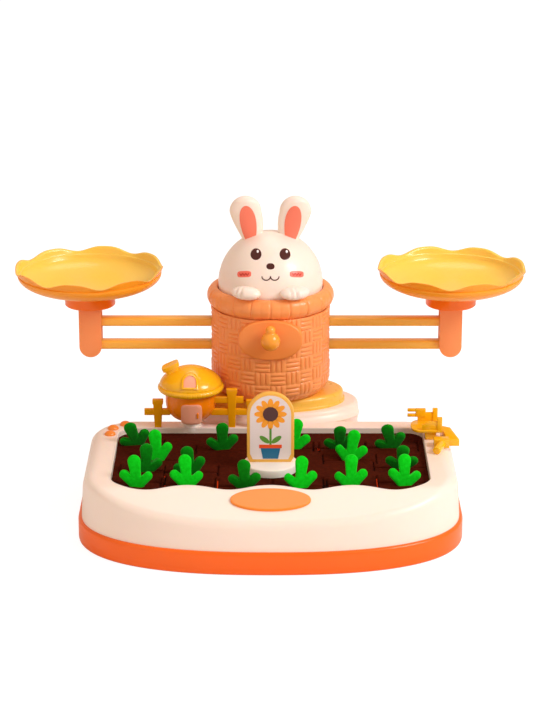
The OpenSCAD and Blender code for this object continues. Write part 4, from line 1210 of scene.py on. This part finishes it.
def make_beam(name, z):
    """Bar with bulging faces and well rounded edges, with eyes and a hub."""
    half, hub_r, eye_r, axle_bore, pin_bore = 4.5, 7.6, 4.6, 3.06, 2.06
    section = oval(0, z, 4.7, 3.45, 56, 4)
    parts = [tube_part(oval(0, z, hub_r, hub_r, 48), oval(0, z, axle_bore, axle_bore, 48), half)]
    for s in (-1, 1):
        ends = sorted((s * 5, s * (ARM_X - 2.9)))
        parts.append(loft([[(x, py, pz) for py, pz in section] for x in ends], "cap", "cap"))
        eye, hole = (oval(s * ARM_X, z, r, r) for r in (eye_r, pin_bore))
        parts.append(tube_part(eye, hole, half))
    if name == "lower_beam":
        parts.append(box_part((-6, -half, z - 21.6), (6, half, z - 5)))
    make_piece(name + "_bar", merge_parts(*parts), AMBER, name, "amber_plastic", name, smooth=30)


def make_dial():
    """Oval plate saddled on the basket, with a soft edge."""
    low, high, middle = box_mm("dial_plate")
    front, wide, tall = low[1], 23.8, (high[2] - low[2]) / 2 + 0.5

    def outline(shrink):
        return oval(0, middle[2] + 0.5, wide - shrink, tall - shrink, 96, 2.15)

    saddle = BASKET_R + 0.4
    rings = [[(x, max(front + 1.8, -math.sqrt(saddle ** 2 - x ** 2)), z) for x, z in outline(0)]]
    edge = ((0, 1.7), (0.2, 0.8), (0.7, 0.25), (1.6, 0))
    rings += [upright(outline(shrink), front + back) for shrink, back in edge]
    make_piece("dial", loft(rings, "cap", "cap"), DIAL, "base", "peach_plastic", "dial_plate")


def make_knob():
    """Ball with a small nub on top, run together with a soft neck."""
    low, _, middle = box_mm("pointer_knob")
    z = low[2] + 8.2
    profile = arc((0, z), 7.1, -89, 58, 30) + arc((0, z + 8.1), 3.6, -20, 88, 14)
    make_piece("knob", lathe(profile, 0, middle[1], 64), KNOB, "upper_beam", "amber_plastic", "pointer_knob")


# House

def house_frame():
    """Middle of the house across and along, and heights of its foot, roof band and top."""
    low, high, middle = box_mm("house_roof")
    return middle[0], middle[1], box_mm("house_body")[0][2], low[2] + 2.5, high[2]


HOUSE_X, HOUSE_Y, HOUSE_LOW, ROOF_LOW, ROOF_TOP = house_frame()
DOME_LOW = ROOF_LOW + 5.2


def wall_radius(z):
    """Radius of the bowl-shaped body at a height."""
    rise = min(1.0, max(0.0, (z - HOUSE_LOW) / BOWL_HIGH))
    return BOWL_FOOT + (WALL_R - BOWL_FOOT) * math.sqrt(1 - (1 - rise) ** 2)


def dome_radius(z):
    """Radius of the roof's dome at a height, a little more pointed than a half ball."""
    rise = min(0.999, max(0.0, (z - DOME_LOW) / (ROOF_TOP - DOME_LOW)))
    return DOME_R * (1 - rise ** DOME_POWER) ** (1 / DOME_POWER)


def on_roof(x, z, lift):
    radius = dome_radius(z) + lift
    return (HOUSE_X + x, HOUSE_Y - math.sqrt(max(1.0, radius ** 2 - x ** 2)), z)


def make_house():
    """Bowl-shaped walls under a domed roof with a notched band."""
    heights = [HOUSE_LOW + BOWL_HIGH * (1 - math.cos(math.radians(a))) for a in range(0, 91, 6)]
    profile = [(wall_radius(z), z) for z in heights] + [(WALL_R, ROOF_LOW + 1)]
    walls = lathe(profile, HOUSE_X, HOUSE_Y, 80)
    make_piece("house_walls", walls, HOUSE, "base", "house_plastic", "house_body")
    core, out, half = 21.4, 3.0, 2.6
    profile = [(17, ROOF_LOW)]
    profile += [(core + out * math.cos(math.radians(a)), ROOF_LOW + half * (1 + math.sin(math.radians(a))))
                for a in range(-90, 61, 15)]
    for angle in range(0, 88, 4):
        z = DOME_LOW + (ROOF_TOP - DOME_LOW) * math.sin(math.radians(angle))
        profile.append((dome_radius(z), z))
    notch, plain = 0.22, 7
    rings = []
    for r, z in profile:
        on_band = z < ROOF_LOW + 5 and r > core
        reaches = ([r - notch if on_band else r] + [r] * plain) * ROOF_NOTCHES
        rings.append(polar_ring(reaches, z, HOUSE_X, HOUSE_Y))
    roof = loft(rings, (HOUSE_X, HOUSE_Y, ROOF_LOW), (HOUSE_X, HOUSE_Y, ROOF_TOP))
    make_piece("house_top", roof, ROOF, "base", "roof_plastic", "house_roof")


def arch_outline(half, low, high):
    rise = half * 0.75
    top = [(half * c, high - rise + rise * s) for c, s in arc((0, 0), 1, 0, 180, 20)]
    return [(half, low)] + top + [(-half, low)]


def house_patch(surface, outline, centre, lift, sink):
    """A raised panel that follows the house's wall or roof."""
    steps = [(share, lift) for share in (0.25, 0.5, 0.75, 0.93)] + [(1, lift * 0.6), (1, -sink)]
    return patch_part(surface, outline, centre, steps)


def make_door():
    low, high, half = HOUSE_LOW + 1.0, HOUSE_LOW + 16.7, 7.7
    middle = (low + high) / 2

    def on_door(x, z, lift):
        radius = 18.9 - 0.12 * (high - z) + lift
        return (HOUSE_X + 0.9 + x, HOUSE_Y - math.sqrt(max(1.0, radius ** 2 - x ** 2)), z)

    door = house_patch(on_door, oval(0, middle, half, (high - low) / 2, 64, 5), (0, middle), 1.0, 6)
    make_piece("door", door, SALMON, "base", "salmon_plastic", "house_door", smooth=35)
    handle = [on_door(4.6, low + up, 1.2) for up in (6, 7.2, 8.4)]
    settle(beads("door_handle", handle, (0.75, 0.7, 1.2), HOUSE), "base", "house_plastic")


def make_window():
    """Pane on the roof with a raised band round it."""
    low, high, middle = box_mm("house_window")
    centre = (0, middle[2])
    pane = house_patch(on_roof, arch_outline(4.7, low[2], high[2]), centre, 0.7, 0.6)
    make_piece("window_pane", pane, SALMON, "base", "salmon_plastic", "house_window", smooth=35)
    outline = arch_outline(6.2, low[2] - 0.9, high[2] + 1.2)
    share, lift, sink = 0.74, 1.9, 0.6
    edge = (1 - share) * 0.2
    steps = [(share, -sink), (share, lift - 0.5), (share + edge, lift),
             (1 - edge, lift), (1, lift - 0.5), (1, -sink)]
    band = loft([patch_ring(on_roof, outline, centre, *step) for step in steps], loop=True)
    make_piece("window_frame", band, ROOF, "base", "roof_plastic", smooth=50)


def make_chimney():
    """Leaning stack with a wider cap."""
    lean = math.radians(24)
    rings = []
    for half, up in ((5.2, 0), (5.2, 8.9), (6.5, 9.3), (6.6, 12.0), (6.2, 12.4)):
        ring = []
        for px, py in oval(0, 0, half, half * 0.9, power=4):
            across, rise = turned(px, up, lean)
            ring.append((HOUSE_X - 10.4 + across, HOUSE_Y + py, ROOF_TOP - 10 + rise))
        rings.append(ring)
    part = loft(rings, "cap", "cap")
    make_piece("chimney", part, ROOF, "base", "roof_plastic", "house_chimney", smooth=40)


# Fence, cart and sign

def make_fence():
    """Posts that widen to flat caps, and rails that run on past the house."""
    y = box_mm("garden_fence")[2][1]
    parts = []
    for offset, height in ((-24.2, 21.8), (30.3, 30), (44.8, 21.5)):
        x, top = HOUSE_X + offset, TRAY_TOP + height
        right = [(2.5, TRAY_TOP), (3.4, top - 4), (4.0, top - 3.4), (4.0, top)]
        shape = [(x + px, z) for px, z in right] + [(x - px, z) for px, z in right[::-1]]
        parts.append(prism_part(shape, y - 1.8, y + 1.8))
    for start, end, up in ((-34.2, -15, 12), (15, 44.8, 12), (15, 38.8, 21.4)):
        rail = TRAY_TOP + up
        parts.append(box_part((HOUSE_X + start, y - 1.4, rail - 2.5), (HOUSE_X + end, y + 1.4, rail + 2.5)))
    piece = round_edges(new_object("fence", merge_parts(*parts), FENCE), 1.2, 4)
    settle(piece, "base", "roof_plastic", "garden_fence")


def make_cart():
    """Small flat cart on a block: side boards, stakes, a forked handle, a ramp and a roller."""
    x, y, z = 116.4, -62.8, TRAY_TOP
    bed, deck, edge, nose = 6.4, 8.2, 11.7, 8.5
    bulge = [(-nose - 5.6 * math.sin(a), edge * math.cos(a)) for a in np.linspace(0, math.pi, 17)]
    plate = [(x + px, y + py) for px, py in [(nose, edge)] + bulge + [(nose, -edge)]]
    parts = [prism_part(plate, z + bed, z + deck, level)]
    corners = ((-1, -1), (1, -1), (1, 1), (-1, 1))
    parts.append(loft([[(x + sx * w, y - 3.4 + sy * d, z + h) for sx, sy in corners]
                       for w, d, h in ((3.5, 5.4, 0), (4.3, 6, bed))], "cap", "cap"))

    def block(left, right, near, far, low, high):
        parts.append(box_part((x + left, y + near, z + low), (x + right, y + far, z + high)))

    for shift, side in ((-1, 10.1), (1, -10.1)):
        start, foot, top = x + shift - 7.5, z + bed + 1, z + deck + 6.6
        board = [(start, foot), (start + 12, foot), (start + 12, top),
                 (start + 6, top), (start, z + deck + 4.0)]
        parts.append(prism_part(board, y + side - 0.8, y + side + 0.8))
        block(shift + 3.5, shift + 7.2, side - 1.5, side + 1.5, bed, deck + 9.6)
    back = 10.1
    block(-10, -2.6, back - 1.4, back + 1.4, 11.4, 17.6)
    for prong in (11.4, 15.4):
        block(-15.9, -9, back - 1.1, back + 1.1, prong, prong + 2.2)
    ramp = ((0, 0, deck), (7, -4.3, deck), (12.6, -22, 5.2), (4, -22, 5.2))
    parts.append(loft([[(x + 7.5 + px, y + py, z) for px, py, _ in ramp],
                       [(x + 7.5 + px, y + py, z + up) for px, py, up in ramp]], "cap", "cap"))
    block(1.5, 12.5, -26, -18, 0, 6.2)
    roller, wide = [], 2.9
    for along, radius in ((0, 2.4), (0.5, wide), (18, wide), (18.5, 2.4)):
        ring = []
        for across, up in oval(0, 0, radius, radius, 32):
            side, run = turned(across, along, math.radians(-18.6))
            ring.append((x + 2.3 + side, y - 39.7 + run, z + wide + up))
        roller.append(ring)
    parts.append(loft(roller, "cap", "cap"))
    piece = round_edges(new_object("cart", merge_parts(*parts), ROOF), 0.6)
    settle(piece, "base", "roof_plastic", "farm_cart")


def sign_outline(grow):
    """Arched plate outline in the XZ plane, drawn in or out."""
    half, low, high = 16.7 + grow, -grow, 52 + grow
    top = arc((0, high - half), half, 0, 180, 40)
    return [(half - 2, low), (half, low + 4)] + top + [(-half, low + 4), (-half + 2, low)]


def make_sign():
    """Plain plate with a printed flower in a pot, in a round base."""
    _, high, middle = box_mm("sign_base")
    y, foot, base_r, thick = middle[1], high[2], 19.2, 2
    profile = [(base_r, FELT_TOP), (base_r, foot - 1), (base_r - 0.3, foot - 0.4),
               (base_r - 1, foot), (0.5, foot)]
    make_piece("sign_foot", lathe(profile, 0, y), WHITE, "sign", "white_plastic", "sign_base")

    def plate(outline, near, far):
        return prism_part([(px, foot + pz) for px, pz in outline], y + near, y + far)

    tongue = box_part((-8.3, y - thick, foot - 2.9), (8.3, y + thick, foot + 1))
    board = new_object("sign_board", merge_parts(plate(sign_outline(0), -thick, thick), tongue), SIGN_EDGE)
    settle(round_edges(board, 0.5), "sign", "sign_board", "sign_plate")

    def printed(name, lift, ink, *outlines):
        parts = [plate(outline, -thick - lift, 0.2 - thick) for outline in outlines]
        make_piece(name, merge_parts(*parts), ink, "sign", "sign_board")

    flower_z, leaf_x, leaf_z = 36, 4.2, 17
    petal = oval(0, 7.6, 2.0, 3.9, 20)
    petals = []
    for i in range(12):
        ring = [turned(px, pz, i * TAU / 12) for px, pz in petal]
        petals.append([(px, flower_z + pz) for px, pz in ring])
    blade = [turned(px, pz, math.radians(37)) for px, pz in oval(0, 0, 4.2, 1.8, 24)]
    leaves = [[(s * (leaf_x + px), leaf_z + pz) for px, pz in blade] for s in (-1, 1)]
    stem = [(-0.8, 9), (0.8, 9), (0.8, 25.4), (-0.8, 25.4)]
    printed("sign_panel", 0.10, SIGN_FACE, sign_outline(-2.2))
    printed("sign_petals", 0.16, PRINT_GOLD, *petals)
    printed("sign_seeds", 0.22, PRINT_BROWN, oval(0, flower_z, 5.4, 5.4))
    printed("sign_stem", 0.16, PRINT_GREEN, stem, *leaves)
    printed("sign_pot", 0.22, PRINT_BLUE, [(-5.4, 2.6), (5.4, 2.6), (7.2, 11.6), (-7.2, 11.6)])
    printed("sign_pot_band", 0.26, PRINT_RED, [(-8, 10.6), (8, 10.6), (8, 13.2), (-8, 13.2)])


# Stage

def make_stage():
    """Floor that looks white to the camera and takes soft shadows."""
    mesh = bpy.data.meshes.new("floor")
    far = 6
    corners = level([(-far, -far), (far, -far), (far, far), (-far, far)], 0)
    mesh.from_pydata(corners, [], [(0, 1, 2, 3)])
    floor = add_object("floor", mesh)
    material, tree, shader = start_material("studio_floor")
    tree.nodes.remove(shader)
    diffuse = add_node(tree, "ShaderNodeBsdfDiffuse", {"Color": (0.9, 0.9, 0.9, 1)})
    light = add_node(tree, "ShaderNodeEmission", {"Color": WHITE_LIGHT, "Strength": 1.25})
    seen = tree.nodes.new("ShaderNodeLightPath").outputs["Is Camera Ray"]
    share = times(tree, seen, 0.72)
    mix = add_node(tree, "ShaderNodeMixShader", {0: share, 1: diffuse.outputs[0], 2: light.outputs[0]})
    set_inputs(tree, tree.nodes["Material Output"], {"Surface": mix.outputs[0]})
    mesh.materials.append(material)


def make_world():
    """Warm light from all round, and plain white where the camera sees past the floor."""
    world = bpy.data.worlds.new("studio")
    bpy.context.scene.world = world
    world.use_nodes = True
    tree = world.node_tree
    path = tree.nodes.new("ShaderNodeLightPath").outputs
    seen = math_node(tree, "MAXIMUM", path["Is Camera Ray"], path["Is Transmission Ray"])
    strength = plus(tree, times(tree, seen, 1 - ROOM_STRENGTH), ROOM_STRENGTH)
    set_inputs(tree, tree.nodes["Background"], {
        "Color": mix_colour(tree, seen, ROOM_LIGHT, WHITE_LIGHT), "Strength": strength})


def add_light(name, place, target, size, power, colour):
    lamp = bpy.data.lights.new(name, "AREA")
    lamp.shape = "DISK"
    lamp.size = size
    lamp.energy = power
    lamp.color = colour
    holder = add_object(name, lamp)
    holder.location = place
    aim = np.array(target) - np.array(place)
    tip = math.atan2(math.hypot(aim[0], aim[1]), -aim[2])
    holder.rotation_euler = (tip, 0, math.atan2(aim[1], aim[0]) - math.pi / 2)


def make_camera():
    lens = bpy.data.cameras.new("camera")
    lens.sensor_fit = "HORIZONTAL"
    lens.sensor_width = CAMERA_SENSOR
    lens.lens = CAMERA_LENS
    lens.shift_x = CAMERA_SHIFT
    camera = add_object("camera", lens)
    camera.location = CAMERA_PLACE
    camera.rotation_euler = (CAMERA_PITCH, 0, 0)
    bpy.context.scene.camera = camera


make_camera()
make_stage()
make_world()
add_light("key", (1.25, -0.7, 1.2), (0, -0.05, 0.1), 0.7, 19, (0.97, 0.97, 1))
add_light("fill", (-1.2, -1.4, 0.7), (0, -0.05, 0.1), 1.2, 2, (1, 0.86, 0.76))
add_light("top", (0.1, 0.6, 1.4), (0, 0, 0.1), 0.8, 3, (1, 1, 1))

make_tray()
make_foot_shell()
make_badge()
make_studs()
make_soil()
for number, carrot in enumerate(CARROTS, 1):
    make_carrot(number, carrot)
make_basket()
make_rim()
make_head()
make_face()
for side, word in SIDES:
    make_ear(side, f"ear_{word}")
for side, word in SIDES:
    make_paw(side, f"paw_{word}")
for (side, word), pan_turn in zip(SIDES, PAN_TURNS):
    make_pan(side, f"{word}_pan", pan_turn)
for side, word in SIDES:
    make_post(side, f"{word}_post")
make_beam("upper_beam", UPPER_Z)
make_beam("lower_beam", LOWER_Z)
make_dial()
make_knob()
make_foot_disc()
make_house()
make_door()
make_window()
make_chimney()
make_fence()
make_cart()
make_sign()
paint(STEEL, "shell_screws", "column_screws", "lower_axle", "upper_axle",
      "left_post_pins", "right_post_pins")
paint(CREAM, "column")
paint(ORANGE, "bed_plate")

bpy.context.scene.view_settings.view_transform = "Standard"
